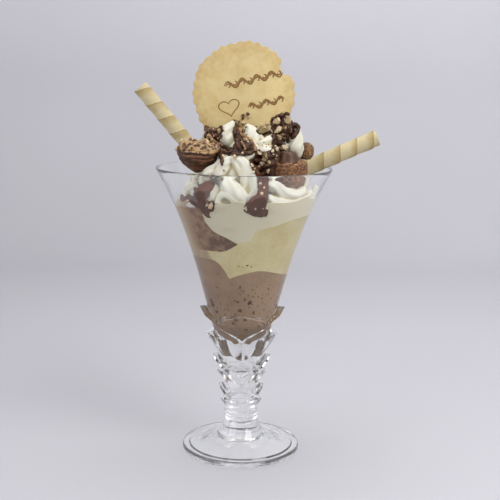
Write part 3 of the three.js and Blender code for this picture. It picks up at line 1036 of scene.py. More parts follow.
class Tree:
    """A Geometry Nodes tree with named inputs, ending in realized, dressed mesh."""

    def __init__(self, name: str, inputs: dict[str, float | int]) -> None:
        """Starts a tree.

        Args:
            name: the tree's name.
            inputs: each named size or seed and its value.
        """
        self.tree = bpy.data.node_groups.new(name, "GeometryNodeTree")
        face = self.tree.interface
        face.new_socket("Geometry", in_out="INPUT", socket_type="NodeSocketGeometry")
        self.sockets = {}
        self.values = dict(inputs)
        for key, value in inputs.items():
            kind = "NodeSocketInt" if isinstance(value, int) else "NodeSocketFloat"
            self.sockets[key] = face.new_socket(key, in_out="INPUT", socket_type=kind).identifier
        face.new_socket("Geometry", in_out="OUTPUT", socket_type="NodeSocketGeometry")
        self.source = self.tree.nodes.new("NodeGroupInput")

    def given(self, name: str) -> Socket:
        """One of the tree's inputs."""
        return self.source.outputs[name]

    def node(self, kind: str, settings: dict, inputs: dict) -> Node:
        """Adds any node, as add_node does."""
        return add_node(self.tree, kind, settings, inputs)

    def random(self, low: object, high: object, seed: int) -> Socket:
        """A random number or vector for each point.

        Args:
            low: the least value, as a number or three numbers.
            high: the greatest value.
            seed: its own seed.

        Returns:
            The value's socket.
        """
        kind = "FLOAT_VECTOR" if isinstance(low, tuple) else "FLOAT"
        inputs = {"Min": low, "Max": high, "Seed": seed}
        node = self.node("FunctionNodeRandomValue", {"data_type": kind}, inputs)
        return next(s for s in node.outputs if s.enabled)

    def stored(self, name: str) -> Socket:
        """A number stored on the mesh that the tree reads."""
        node = self.node("GeometryNodeInputNamedAttribute", {"data_type": "FLOAT"}, {"Name": name})
        return node.outputs["Attribute"]

    def finish(self, geometry: Socket, material: Material) -> None:
        """Ends the tree.

        Args:
            geometry: what the tree has made.
            material: what it is dressed in.
        """
        dressed = self.node("GeometryNodeSetMaterial", {}, {"Geometry": geometry, "Material": material})
        end = self.tree.nodes.new("NodeGroupOutput")
        self.tree.links.new(dressed.outputs[0], end.inputs[0])

    def run(self, name: str, base: Piece) -> Piece:
        """Makes a new piece with the tree.

        Args:
            name: the new piece's name.
            base: the object whose mesh the tree reads.

        Returns:
            The new piece, a plain mesh.
        """
        carrier = piece_of(name, base.data.copy())
        modifier = carrier.modifiers.new(name, "NODES")
        modifier.node_group = self.tree
        for key, value in self.values.items():
            modifier[self.sockets[key]] = value
        return settle(carrier)


def chopped_bits(
    name: str,
    base: Piece,
    material: Material,
    size: float,
    spacing: float,
    seed: int,
    flat: float = 0.7,
) -> Piece:
    """Uneven chopped bits, seated on a base where its mask is set, or at each point of a base without faces.

    Args:
        name: the new piece's name.
        base: what carries them and then goes: a mesh with a mask, or points with reach and tone.
        material: the bits' material.
        size: the mean radius of a bit in millimetres.
        spacing: the least distance between bits in millimetres.
        seed: the seed of every random draw.
        flat: how flat a bit lies, from 0 to 1.

    Returns:
        The bits as one piece.
    """
    inputs = {"Size": size * MM, "Spacing": spacing * MM, "Seed": seed, "Unevenness": size * MM * 1.5}
    tree = Tree(name, inputs)
    scale = tree.random((0.6, 0.55, 0.45 * flat), (1.3, 1.1, 1.1 * flat), 5)
    if base.data.polygons:
        spread = {
            "Mesh": tree.given("Geometry"),
            "Distance Min": tree.given("Spacing"),
            "Density Max": 1.6 / (spacing * MM) ** 2,
            "Density Factor": tree.stored("mask"),
            "Seed": tree.given("Seed"),
        }
        places = tree.node("GeometryNodeDistributePointsOnFaces", {"distribute_method": "POISSON"}, spread)
        tone = tree.random(0.0, 1.0, 7)
    else:
        places = tree.node("GeometryNodeMeshToPoints", {}, {"Mesh": tree.given("Geometry")})
        scaled = {0: scale, "Scale": tree.stored("reach")}
        scale = tree.node("ShaderNodeVectorMath", {"operation": "SCALE"}, scaled).outputs[0]
        tone = tree.stored("tone")
    bit = tree.node("GeometryNodeMeshIcoSphere", {}, {"Radius": tree.given("Size"), "Subdivisions": 2})
    turn = {
        "Points": places.outputs["Points"],
        "Instance": bit.outputs["Mesh"],
        "Rotation": tree.random((0.0, 0.0, 0.0), (6.3, 6.3, 6.3), 3),
        "Scale": scale,
    }
    instances = tree.node("GeometryNodeInstanceOnPoints", {}, turn)
    settings = {"data_type": "FLOAT", "domain": "INSTANCE"}
    toned = {"Geometry": instances.outputs[0], "Name": "tone", "Value": tone}
    toned_bits = tree.node("GeometryNodeStoreNamedAttribute", settings, toned)
    real = tree.node("GeometryNodeRealizeInstances", {}, {"Geometry": toned_bits.outputs[0]})
    waves = {"Scale": 1.1 / (size * MM), "Detail": 1.0}
    grain = tree.node("ShaderNodeTexNoise", {"noise_dimensions": "3D"}, waves).outputs["Color"]
    centred = tree.node("ShaderNodeVectorMath", {"operation": "SUBTRACT"}, {0: grain, 1: (0.5,) * 3})
    amount = {0: centred.outputs[0], 3: tree.given("Unevenness")}
    shift = tree.node("ShaderNodeVectorMath", {"operation": "SCALE"}, amount)
    moves = {"Geometry": real.outputs[0], "Offset": shift.outputs[0]}
    moved = tree.node("GeometryNodeSetPosition", {}, moves)
    tree.finish(moved.outputs[0], material)
    piece = tree.run(name, base)
    drop(base)
    piece.data.set_sharp_from_angle(angle=math.radians(26))
    return piece


def bit_places(places: Array, reach: Array, tone: Array) -> Piece:
    """Points that each carry one bit.

    Args:
        places: the points in millimetres.
        reach: each bit's size, against the mean size.
        tone: how toasted each bit is, from 0 to 1.

    Returns:
        The points as an object without faces.
    """
    base = piece_from("bit_places", places, [])
    return store(store(base, "reach", reach), "tone", tone)


def store_crease_shade(piece: Piece, reach: int, full: float) -> Piece:
    """Stores how deep each point lies in a crease of its piece, as an attribute named hollow, which paints
    shade into the creases.

    Args:
        piece: the piece.
        reach: how many times the crease is spread to the neighbours.
        full: the distance below the neighbours' mean, in millimetres, that counts as 1.

    Returns:
        The same piece.
    """
    places, normals = points_of(piece)
    edges = np.empty(len(piece.data.edges) * 2, int)
    piece.data.edges.foreach_get("vertices", edges)
    start, end = edges.reshape(-1, 2).T
    count = len(places)
    near = np.maximum(np.bincount(start, minlength=count) + np.bincount(end, minlength=count), 1)

    def mean(values: Array) -> Array:
        """The mean of each point's neighbours."""
        total = np.bincount(start, values[end], count) + np.bincount(end, values[start], count)
        return total / near

    wide = places
    for _ in range(reach):
        wide = np.column_stack([mean(axis) for axis in wide.T])
    depth = np.sum((wide - places) * normals, axis=1)
    return store(piece, "hollow", clamp01(depth / full))


def masked(piece: Piece, share: Callable[[Array, Array], Array]) -> Piece:
    """Stores a mask on a piece's points.

    Args:
        piece: the piece.
        share: gives the mask for the points in millimetres and their normals.

    Returns:
        The same piece.
    """
    return store(piece, "mask", share(*points_of(piece)))


# The glass


@dataclass
class Tier:
    """One tier of four leaning leaves on the stem."""

    turn: int
    tip: Pair
    shoulder: Pair
    corner: float
    base: float
    slope: float
    thick: float
    sink: float

    def flat(self, height: float) -> float:
        """The distance of a leaf's face from the axis at a height."""
        return self.tip[0] - self.slope * (self.tip[1] - height)

    def build(self) -> Piece:
        """The tier as one closed solid with softened edges.

        Returns:
            The tier.
        """
        leaf = [(-self.flat(self.corner), self.corner), (-self.shoulder[0], self.shoulder[1])]
        leaf += [(0.0, self.tip[1]), (self.shoulder[0], self.shoulder[1])]
        stations = 4 * len(leaf)
        lowest = min(height for _, height in leaf)
        sunk = max(lowest - self.sink, self.base + 0.5)
        inner = self.flat(self.base) * 0.8
        rings = []
        for index in range(stations):
            across, height = leaf[index % len(leaf)]
            out = self.flat(height)
            lean = math.atan2(across, out)
            reach = math.hypot(across, out)
            direction = (index // len(leaf)) * math.pi / 2 + self.turn * math.pi / 4 + lean
            foot = self.flat(self.base) / math.cos(lean)
            ring = [(0, self.base), (foot, self.base), (reach, height), (reach - self.thick, height + 0.4)]
            ring += [(inner, sunk), (0, sunk)]
            rings.append([(r * math.sin(direction), -r * math.cos(direction), z) for r, z in ring])
        table = np.asarray(rings)

        def place(row: Array, angle: Array) -> tuple:
            """The point of a station."""
            station = np.rint(angle / (2 * math.pi) * stations).astype(int) % stations
            found = table[station, row.astype(int)]
            return found[..., 0], found[..., 1], found[..., 2]

        tier = skin("tier", 6, stations, place)
        limit = {"limit_method": "ANGLE", "angle_limit": math.radians(24)}
        return modified(tier, "BEVEL", width=0.45 * MM, segments=2, **limit)


@dataclass
class FootedGlass:
    """The tall footed glass, turned and pressed, with leaf tiers on its stem."""

    segments: int = 144
    rim_height: float = 197
    rim_wall: float = 1.4
    rim_edge: float = 0.8
    waist: tuple[float, float, float, float] = (104, 24.8, 0.27, 1.23e-5)
    thickening: float = 0.01
    cavity_bottom: float = 79
    cavity_shoulder: float = 94
    foot_radius: float = 40.8
    foot_edge: float = 3.8
    bead: float = 4.6
    dish: float = 4.4
    punt: Triple = (14.5, 7.2, 34.5)
    trumpet: Triple = (14.2, 4.2, 2.6)
    stem_radius: float = 11.1
    rings: tuple[float, float, float, int] = (20.4, 3.7, 0.55, 4)
    core: tuple[float, ...] = (9.6, 10.6, 11.6, 14.2)
    core_heights: tuple[float, ...] = (38, 66, 70, 76)
    tiers: tuple[Tier, ...] = (
        Tier(0, (29.7, 101.3), (14.5, 98.2), 91.7, 85, 1.3, 4.2, 6),
        Tier(1, (21.1, 88.6), (9, 85.3), 82, 66, 0.5, 3.2, 5),
        Tier(0, (20.2, 67.4), (9, 65.6), 60.5, 55, 0.95, 3.0, 3),
        Tier(1, (14.8, 60.2), (6, 58), 55.5, 46.5, 0.5, 2.8, 3),
        Tier(0, (16.0, 46.2), (7, 44.8), 40.5, 37, 0.85, 2.6, 2.4),
        Tier(1, (12.4, 38.8), (5, 37), 35.0, 30, 0.5, 2.0, 2),
    )

    def wall(self, height: Array | float) -> Array | float:
        """The outer radius of the bowl at a height."""
        level, radius, slope, flare = self.waist
        t = height - level
        return radius + slope * t + flare * t**3

    def inner(self, height: float) -> float:
        """The inner radius of the bowl at a height, with its rounded bottom."""
        level = min(height, self.rim_height)
        full = self.wall(level) - self.rim_wall - self.thickening * (self.rim_height - level)
        below = clamp01((self.cavity_shoulder - height) / (self.cavity_shoulder - self.cavity_bottom))
        return float(full * (1 - below**2))

    def hollow(self, reach: float, top: float) -> Piece:
        """The bowl's hollow as a solid.

        Args:
            reach: how far it reaches into the wall.
            top: its upper level.

        Returns:
            The solid.
        """
        low, shoulder = self.cavity_bottom, self.cavity_shoulder
        heights = [low + (shoulder - low) * (i / 14) ** 2 for i in range(1, 15)]
        heights += [shoulder + (self.rim_height - shoulder) * i / 46 for i in range(1, 47)]
        profile = [(0.0, low - reach)]
        profile += [(self.inner(h) + reach, h - (reach if h < shoulder else 0)) for h in heights if h <= top]
        rim = profile[-1][0]
        if top > profile[-1][1] + 0.01:
            profile.append((rim, top))
        profile.append((0.0, top))
        return turned("hollow", profile, self.segments)

    def pressed(self, piece: Piece, material: Material, near: float = 0.3) -> None:
        """Gives another material to a piece's faces at the glass wall.

        Args:
            piece: the piece, already dressed.
            material: the material for the faces at the wall.
            near: how far from the wall these faces may lie.
        """
        mesh = piece.data
        mesh.materials.append(material)
        centres = np.empty(len(mesh.polygons) * 3)
        mesh.polygons.foreach_get("center", centres)
        x, y, z = (centres.reshape(-1, 3) / MM).T
        levels = np.linspace(self.cavity_bottom, self.rim_height, 120)
        inner = np.interp(z, levels, [self.inner(level) for level in levels])
        at_wall = (np.hypot(x, y) > inner - near) & (z < self.rim_height)
        mesh.polygons.foreach_set("material_index", at_wall.astype(np.int32))

    def profile(self) -> list[Pair]:
        """The outer outline from the hollow underside to the rim."""
        edge = self.foot_edge
        punt, rise, rest = self.punt
        points = [(0, rise), (punt - 1.5, rise - 0.2), (punt, rise - 0.9)]
        for i in range(1, 9):
            t = i / 8
            points.append((punt + (rest - punt) * t, (rise - 1.6) * (1 - t) ** 1.5))
        points += [(self.foot_radius - 3.2, 0), (self.foot_radius - 1.0, 0.25)]
        for i in range(9):
            turn = math.pi * (i / 8 - 0.5)
            reach = self.foot_radius - 1.1 + 1.1 * math.cos(turn)
            points.append((reach, edge * 0.5 + edge * 0.5 * math.sin(turn)))
        points += [(self.foot_radius - 2.6, edge - 0.05), (self.foot_radius - self.bead, edge - 0.35)]
        start = self.foot_radius - self.bead - 0.7
        sweep, power, slant = self.trumpet
        for i in range(25):
            t = i / 24
            level = self.dish + sweep * t**power + slant * t
            points.append((start + (self.stem_radius + 0.2 - start) * t, level))
        low, pitch, swell, count = self.rings
        for i in range(count * 8 + 1):
            t = i / 8
            points.append((self.stem_radius + swell * math.sin(math.pi * t) ** 2, low + 1.2 + pitch * t))
        points += list(zip(self.core, self.core_heights))
        start, end = self.cavity_shoulder - 9, self.rim_height - self.rim_edge
        points += [(float(self.wall(level)), float(level)) for level in np.linspace(start, end, 61)]
        rim = float(self.wall(self.rim_height)) - self.rim_edge * 0.5
        points += [(rim, self.rim_height - 0.25), (rim - 0.2, self.rim_height), (0, self.rim_height)]
        return points

    def build(self, material: Material) -> Piece:
        """The whole glass, dressed.

        Args:
            material: the glass material.

        Returns:
            The finished piece.
        """
        glass = turned("coupe_glass", self.profile(), self.segments)
        for tier in self.tiers:
            combine(glass, tier.build(), Fit.JOIN)
        combine(glass, self.hollow(0, self.rim_height + 10), Fit.CUT)
        shaded(largest(glass), material, 28)
        return enter(glass, "glass", "glass")


# Ice cream layers


Level = Callable[[Array, Array], Array]


@dataclass
class Fillings:
    """The ice cream layers, each bounded above by a level that changes over the glass."""

    glass: FootedGlass
    reach: float = 0.45
    left_top: float = 139
    left_at: float = -21
    left_bend: float = 0.085
    right_top: float = 131.8
    right_at: float = 10
    right_bend: float = 0.017
    vanilla_low: float = 145
    vanilla_step: Triple = (8, -15, 2)
    vanilla_rise: Triple = (6.5, 4.5, 9)
    vanilla_slope: Triple = (8, 0, 42)
    scoop_level: float = 159
    scoop_at: float = -19
    scoop_slope: float = -0.53
    scoop_shoulder: Triple = (2.5, -24, -19)
    scoop_back: Triple = (26, 8, 30)
    scoop_ledge: Triple = (7.6, -26.5, -24.8)
    scoop_highest: float = 173.2
    spots: tuple[Triple, ...] = (
        (-1.7, 120.6, 1.0), (1.1, 112.0, 1.0), (-2.9, 110.4, 0.9), (4.4, 109.7, 1.3), (-1.5, 103.9, 1.0),
        (-4.1, 98.5, 1.8), (1.9, 98.7, 1.1), (-19.9, 108.3, 1.3), (-18.6, 105.6, 1.5), (-16.4, 101.7, 1.2),
        (-5.6, 94.6, 1.0), (7.5, 102.5, 0.8), (10.5, 92.0, 0.9), (-11.0, 96.0, 0.8), (2.5, 90.0, 0.9),
        (-5.2, 135.2, 0.5), (-2.4, 136.0, 0.6), (0.3, 135.3, 0.5), (2.9, 136.2, 0.6), (5.4, 135.6, 0.5),
    )

    def lower_level(self, x: Array, y: Array) -> Array:
        """The top of the lower chocolate ice cream."""
        left = self.left_top - self.left_bend * np.maximum(x - self.left_at, 0) ** 2
        right = self.right_top - self.right_bend * (x - self.right_at) ** 2
        return np.maximum(np.maximum(left, right), 108) + 0.5 * ripple(x * 0.3, y * 0.3, 0 * x, 2)

    def vanilla_level(self, x: Array, y: Array) -> Array:
        """The top of the vanilla ice cream."""
        level = self.vanilla_low
        for rise, start, end in (self.vanilla_step, self.vanilla_rise, self.vanilla_slope):
            level = level + rise * smooth(start, end, x)
        return level + 0.5 * ripple(x * 0.3, y * 0.3, 0 * x + 3, 4)

    def scoop_top(self, x: Array, y: Array) -> Array:
        """The top of the darker chocolate scoop."""
        shoulder, start, end = self.scoop_shoulder
        back, near, far = self.scoop_back
        level = self.scoop_level + self.scoop_slope * (x - self.scoop_at)
        level = level + shoulder * (1 - smooth(start, end, x))
        ledge, start, end = self.scoop_ledge
        level = np.minimum(level + ledge * (1 - smooth(start, end, x)), self.scoop_highest)
        return level - back * smooth(near, far, y) + 0.6 * ripple(x * 0.35, y * 0.35, 0 * x + 6, 7)

    def under(self, level: Level, lift: float = 0.0, rings: int = 70, segments: int = 160) -> Piece:
        """Everything under a level, wider than the glass.

        Args:
            level: the level over x and y.
            lift: how much higher it is taken.
            rings: rings of points on the level.
            segments: points round each ring.

        Returns:
            The solid.
        """
        reach, depth = 64.0, 60.0

        def place(row: Array, angle: Array) -> tuple:
            """The point of a ring."""
            radius = np.where(row < 2, reach * (row > 0), reach * (1 - (row - 2) / rings))
            x, y = around(radius, angle)
            return x, y, np.where(row < 2, depth, level(x, y) + lift)

        return skin("under", rings + 3, segments, place)

    def layer(self, name: str, top: Level, floor: Level | None = None) -> Piece:
        """One layer between a level and what lies below it.

        Args:
            name: its name.
            top: its upper level.
            floor: the level it rests on, or none at the bottom.

        Returns:
            The layer's solid.
        """
        layer = self.glass.hollow(self.reach, self.glass.rim_height - 2)
        layer.name = name
        combine(layer, self.under(top), Fit.KEEP)
        if floor:
            combine(layer, self.under(floor, 0.02), Fit.CUT)
        return largest(layer)

    def build(self) -> None:
        """Builds and dresses the three layers and the chips in the lowest one."""
        milk = IceCream(
            "milk_chocolate_ice", tint(134, 108, 84), tint(154, 127, 100), tint(161, 139, 112),
            14, 1.2, 0.25, 0.004,
        )
        vanilla = IceCream(
            "vanilla_ice", tint(189, 176, 128), tint(201, 191, 152), tint(206, 199, 171), 16, 1.6, 0.35,
            smear=tint(144, 114, 90), smear_reach=(13.5, 17.5),
        )
        dark = IceCream(
            "dark_chocolate_ice", tint(93, 64, 45), tint(146, 115, 87), tint(170, 144, 114), 4.5, 0.9, 0.5,
            tilt=-0.009, middle=-24, smear=tint(176, 153, 112),
        )
        lower = self.layer("lower_chocolate", self.lower_level)
        self.chips(lower)
        middle = self.layer("vanilla_layer", self.vanilla_level, self.lower_level)
        scoop = self.layer("dark_scoop", self.scoop_top, self.vanilla_level)
        for layer, finish, slot, node in (
            (lower, milk, "chocolate_ice", "chocolate_ice_cream"),
            (middle, vanilla, "vanilla_ice", "vanilla_ice_cream"),
            (scoop, dark, "dark_ice", "chocolate_scoop"),
        ):
            enter(shaded(layer, finish.make(), 40), slot, node)

    def chips(self, lower: Piece) -> None:
        """Dark chips that show at the glass in the lowest layer.

        Args:
            lower: the lowest layer's solid.
        """
        spots = np.asarray(self.spots)
        deep = np.array([self.glass.inner(z) for z in spots[:, 1]])
        depth = np.sqrt((deep - 0.1) ** 2 - spots[:, 0] ** 2)
        places = np.column_stack([spots[:, 0], -depth, spots[:, 1]])
        shades = tint(72, 37, 21), tint(92, 55, 35), tint(104, 70, 50)
        finish = IceCream("chocolate_chip", *shades, 3, 0.8).make()
        base = bit_places(places, spots[:, 2], spots[:, 2])
        enter(chopped_bits("chocolate_chips", base, finish, 1.5, 1, 3, 0.75), "dark_ice")

        def share(points: Array, normals: Array) -> Array:
            """Where fine crumbs of chocolate show: at the wall all round, more at the front below the top."""
            x, y, z = points.T
            side = np.abs(normals[:, 2]) < 0.75
            return side * np.where((y < 0) & (z < 120), 0.4, 0.08)

        base = masked(piece_of("chip_base", lower.data.copy()), share)
        enter(chopped_bits("chocolate_crumbs", base, finish, 0.55, 2.5, 11, 0.8), "dark_ice")


# Whipped cream, sauce and nuts


@dataclass
class Swirl:
    """A piped swirl of cream: a ridged rope wound up a soft cone, ending in a leaning tip."""

    at: Pair
    start: float
    tip: float
    radius: float
    lean: Pair
    lobes: int
    depth: float = 0.11
    twist: float = 2.6
    rope: float = 5.4
    pitch: float = 9.5
    ridges: int = 7
    ridge: float = 0.17

    def full(self, t: Array) -> Array:
        """The cone's radius at a share of its height."""
        return self.radius * np.sqrt(np.maximum(0, 1 - t**1.7)) * (1 - 0.25 * t)

    def centre(self, t: Array) -> tuple[Array, Array]:
        """The cone's axis at a share of its height."""
        return self.at[0] + self.lean[0] * t * t, self.at[1] + self.lean[1] * t * t

    def cone(self, grow: float) -> Piece:
        """The swirl's core with its twisted lobes.

        Args:
            grow: how much thicker it is taken.

        Returns:
            The core.
        """
        rows, segments = 40, self.lobes * 14
        height = self.tip - self.start - 3 + grow

        def place(row: Array, angle: Array) -> tuple:
            """The point of a row."""
            t = row / (rows - 1)
            rise = np.where(row == 0, 0, np.maximum(t, 0.012) ** 0.85)
            phase = self.lobes * angle + self.twist * math.pi * t
            wave = 1 + self.depth * np.cos(phase) * np.sin(math.pi * t) ** 0.5
            inner = np.maximum(self.full(t) * wave - self.rope * 0.75, 0.2) + grow
            reach = np.where((row > 0) & (row < rows - 1), inner, 0)
            x, y = self.centre(t)
            return x + reach * np.sin(angle), y - reach * np.cos(angle), self.start + height * rise

        return skin("swirl_core", rows, segments, place)

    def winding(self, grow: float) -> Piece:
        """The ridged rope that winds up the cone.

        Args:
            grow: how much thicker it is taken.

        Returns:
            The rope as a closed tube.
        """
        height = self.tip - self.start
        turns = height / self.pitch
        steps, sides = int(turns * 64), self.ridges * 7
        share = np.linspace(0, 1, steps)
        level = share**0.92
        swing = 2 * math.pi * turns * share + self.lobes
        slim = 1 - 0.9 * smooth(0.74, 1.0, share)
        thick = self.rope * slim * min(1, self.radius / 19) ** 0.5
        wobble = 1 + 0.06 * np.sin(share * 23 + self.lobes) + 0.04 * np.sin(share * 51)
        reach = np.maximum(self.full(level) * wobble - thick, 0)
        x, y = self.centre(level)
        z = self.start + height * level - thick * (1 - smooth(0.9, 1, share))
        path = np.column_stack([x + reach * np.sin(swing), y - reach * np.cos(swing), z])
        ahead = directions(path)
        side = np.cross(ahead, np.column_stack([np.sin(swing), -np.cos(swing), np.zeros(steps)]))
        side /= np.linalg.norm(side, axis=1)[:, None]
        angle = np.arange(sides) * 2 * math.pi / sides
        star = 1 + self.ridge * np.cos(self.ridges * (angle[None, :] + 1.1 * swing[:, None]))
        return swept("winding", path, thick[:, None] * star + grow, np.cross(side, ahead), side)

    def parts(self, grow: float = 0.0) -> list[Piece]:
        """The swirl's core and rope, still apart.

        Args:
            grow: how much thicker they are taken.

        Returns:
            Both parts.
        """
        return [self.cone(grow), self.winding(grow)]


@dataclass
class Fold:
    """A soft stroke of piped cream.

    Each corner of its path is x and z as the eye sees them on the plane through the axis, the depth y, and
    the stroke's radius there.
    """

    path: list[tuple[float, float, float, float]]
    ridges: int = 5
    ridge: float = 0.1
    sides: int = 40

    def build(self, grow: float) -> Piece:
        """The stroke as a ridged rope with round ends.

        Args:
            grow: how much thicker it is taken.

        Returns:
            The rope.
        """
        line = flowing(self.path, 12)
        points = seen(line[:, 0], line[:, 1], line[:, 2])
        radii = rounded(points, np.maximum(line[:, 3], 0.3)) + grow
        turn = np.arange(self.sides) * 2 * math.pi / self.sides
        twist = np.linspace(0, 2.4, len(line))
        star = 1 + self.ridge * np.cos(self.ridges * (turn[None, :] + twist[:, None]))
        return rope("fold", points, radii[:, None] * star, self.sides)


@dataclass
class SaucePatch:
    """A patch of sauce: a range of depth, and its outline as the eye sees it at the axis."""

    depth: Pair
    outline: list[Pair]

    def prism(self) -> Piece:
        """The patch as a solid that widens away from the eye.

        Returns:
            The solid.
        """
        ring = flowing(self.outline, 8, closed=True)
        ring += 0.4 * np.column_stack([np.sin(ring[:, 1] * 2.1), np.sin(ring[:, 0] * 1.9 + 1)])
        area = np.sum(ring[:, 0] * np.roll(ring[:, 1], -1) - np.roll(ring[:, 0], -1) * ring[:, 1])
        if area < 0:
            ring = ring[::-1]
        total = len(ring)
        near, far = (seen(ring[:, 0], ring[:, 1], depth) for depth in self.depth)
        faces = [tuple(range(total)), tuple(range(2 * total - 1, total - 1, -1))]
        faces += [(i, i + total, (i + 1) % total + total, (i + 1) % total) for i in range(total)]
        return piece_from("patch", np.vstack([near, far]), faces)


@dataclass
class Strand:
    """A strand of sauce or caramel, its path as the eye sees it on the plane through the axis."""

    radius: float
    path: list[Pair]

    def build(self, onto: BVHTree) -> Piece:
        """The strand, laid on what the eye meets.

        Args:
            onto: the surfaces it lies on.

        Returns:
            The strand.
        """
        line = flowing(self.path, 10)
        points = laid(line, onto, 0.45 * self.radius)
        beads = 1 + 0.12 * np.sin(np.arange(len(line)) * 0.5 + line[0, 0])
        reach = rounded(points, np.full(len(line), self.radius)) * beads
        return rope("strand", points, reach, 12)


# The strokes of cream that show at the front, from the middle outwards
FOLDS = [
    Fold([(-8.9, 203.2, -32, 2.5), (-2.9, 202, -38, 3.2), (3.3, 195.3, -42, 3.6), (6.7, 187.3, -44, 3.6),
          (6.2, 179.8, -44, 3.2), (0.8, 174.3, -43, 2.5)]),
    Fold([(-17.5, 188.3, -38, 3.4), (-15.6, 193.7, -38, 3.8), (-12.3, 199.1, -36, 3.5),
          (-7.6, 203.2, -32, 2.8)]),
    Fold([(-14.8, 187.6, -42, 4), (-9.4, 183.7, -44, 5.2), (-3.3, 178.3, -45, 5), (2.9, 175, -44, 3.5)]),
    Fold([(-7.6, 202.6, -34, 2.8), (-2.8, 196.6, -40, 3.4), (1.3, 187.9, -43, 3.2), (0.1, 179, -43, 2.5)]),
    Fold([(-16, 171.3, -43, 2.2), (-16.1, 176.1, -44, 2.4), (-13.4, 178.9, -46, 2.3), (-9.3, 177.5, -47, 2.2),
          (-4.6, 174.2, -47, 2.2), (1.6, 172.3, -46, 1.8)]),
    Fold([(8.4, 212.4, -30, 1.2), (7.4, 209, -33, 2), (5, 205.3, -35, 2.4), (0.8, 202.9, -36, 2.2),
          (-5.5, 202.4, -35, 1.4)]),
    Fold([(-10.4, 209.9, -11, 6.5), (-12.4, 215.9, -10, 6), (-10.5, 222.5, -8, 4.2), (-7.2, 228.2, -6, 0.8)]),
    Fold([(9.8, 208.8, -13, 7), (6.3, 215.5, -11, 6), (3.6, 221.4, -9, 4.5), (0.8, 226.4, -8, 0.8)]),
    Fold([(7.7, 210.8, -18, 2.8), (13.1, 212.2, -18, 3.8), (17.7, 215.6, -15, 3.4), (19.6, 219.6, -12, 1.4)]),
    Fold([(36.6, 203.4, -14, 1.8), (35, 209, -14, 4.5), (35.6, 215, -13, 3.9), (36.2, 220, -11, 2.2),
          (36.4, 224.2, -9, 0.5)]),
    Fold([(-15.7, 208.5, -24, 2.6), (-14.3, 201.8, -28, 3.6), (-16.9, 196.4, -31, 4.4),
          (-23, 192.3, -32, 4.4),
          (-27.7, 189.5, -32, 3.5)]),
    Fold([(14.9, 186, -40, 3.6), (21.6, 184.1, -38, 4), (27.8, 180.1, -37, 3.6), (35.3, 179.5, -33, 3.2),
          (41.2, 183.7, -26, 2.6)]),
    Fold([(14.3, 177.9, -43, 2.6), (21.8, 174.6, -41, 3), (30.6, 174, -36, 3), (38.7, 176.9, -30, 2.8),
          (44.7, 182.4, -22, 2.4)]),
    Fold([(38.2, 171.4, -24, 2.5), (44.8, 177.6, -16, 2.5), (49.3, 185.2, -8, 2.2)]),
]

# Lobes of cream under the strokes: the centre as the eye sees it with its depth, and three radii
LOBES = [
    ((-4.7, 188.5, -28), (12.5, 13, 15)),
    ((-20.2, 178.1, -37), (6.5, 6, 7)),
    ((-21.1, 213.7, -9), (8, 8, 8.5)),
    ((1.7, 207.7, -14), (12, 10, 9)),
    ((13.9, 200.2, -22), (11, 9, 12)),
    ((24, 178, -26), (17, 12, 7.5)),
    ((-1, 214, -7), (7, 6, 8)),
    ((25, 210, -8), (8, 6, 7)),
    ((-6, 175, -36), (9, 8, 6)),
    ((-11.5, 178, -40), (6, 5, 5)),
    ((-13.5, 172.5, -41), (5, 4, 4)),
    ((21, 180, -34), (6, 5, 4)),
]

# Pools of sauce behind the glass
POOLS = [
    Fold([(14.2, 190, -37, 2.6), (13.4, 183, -42, 3.2), (11.5, 176.5, -45, 4.6), (8.4, 171.5, -47, 6),
          (6.5, 170, -47, 6)]),
    Fold([(-0.4, 170.2, -46, 3), (4, 169.5, -47, 4.2), (9.5, 167, -46, 4.2), (14.8, 164.6, -44, 2)]),
    Fold([(-20.8, 187, -36, 2), (-23.6, 184.2, -39, 3.6), (-27.4, 179.8, -41, 4.6),
          (-30.4, 175.4, -39, 3.2)]),
    Fold([(-33.2, 182.6, -34, 1.2), (-30.8, 180.4, -37, 1.8), (-27.4, 174.2, -40, 3.4),
          (-24.6, 168.6, -42, 2.6),
          (-22, 164.4, -42, 1)]),
    Fold([(-42, 178.6, -22, 1), (-40.6, 175.2, -26, 1.3), (-37, 176.6, -31, 1.3), (-33, 172.6, -36, 1.8),
          (-29.4, 168.8, -38, 2.2), (-26.4, 165.8, -40, 1.2)]),
]

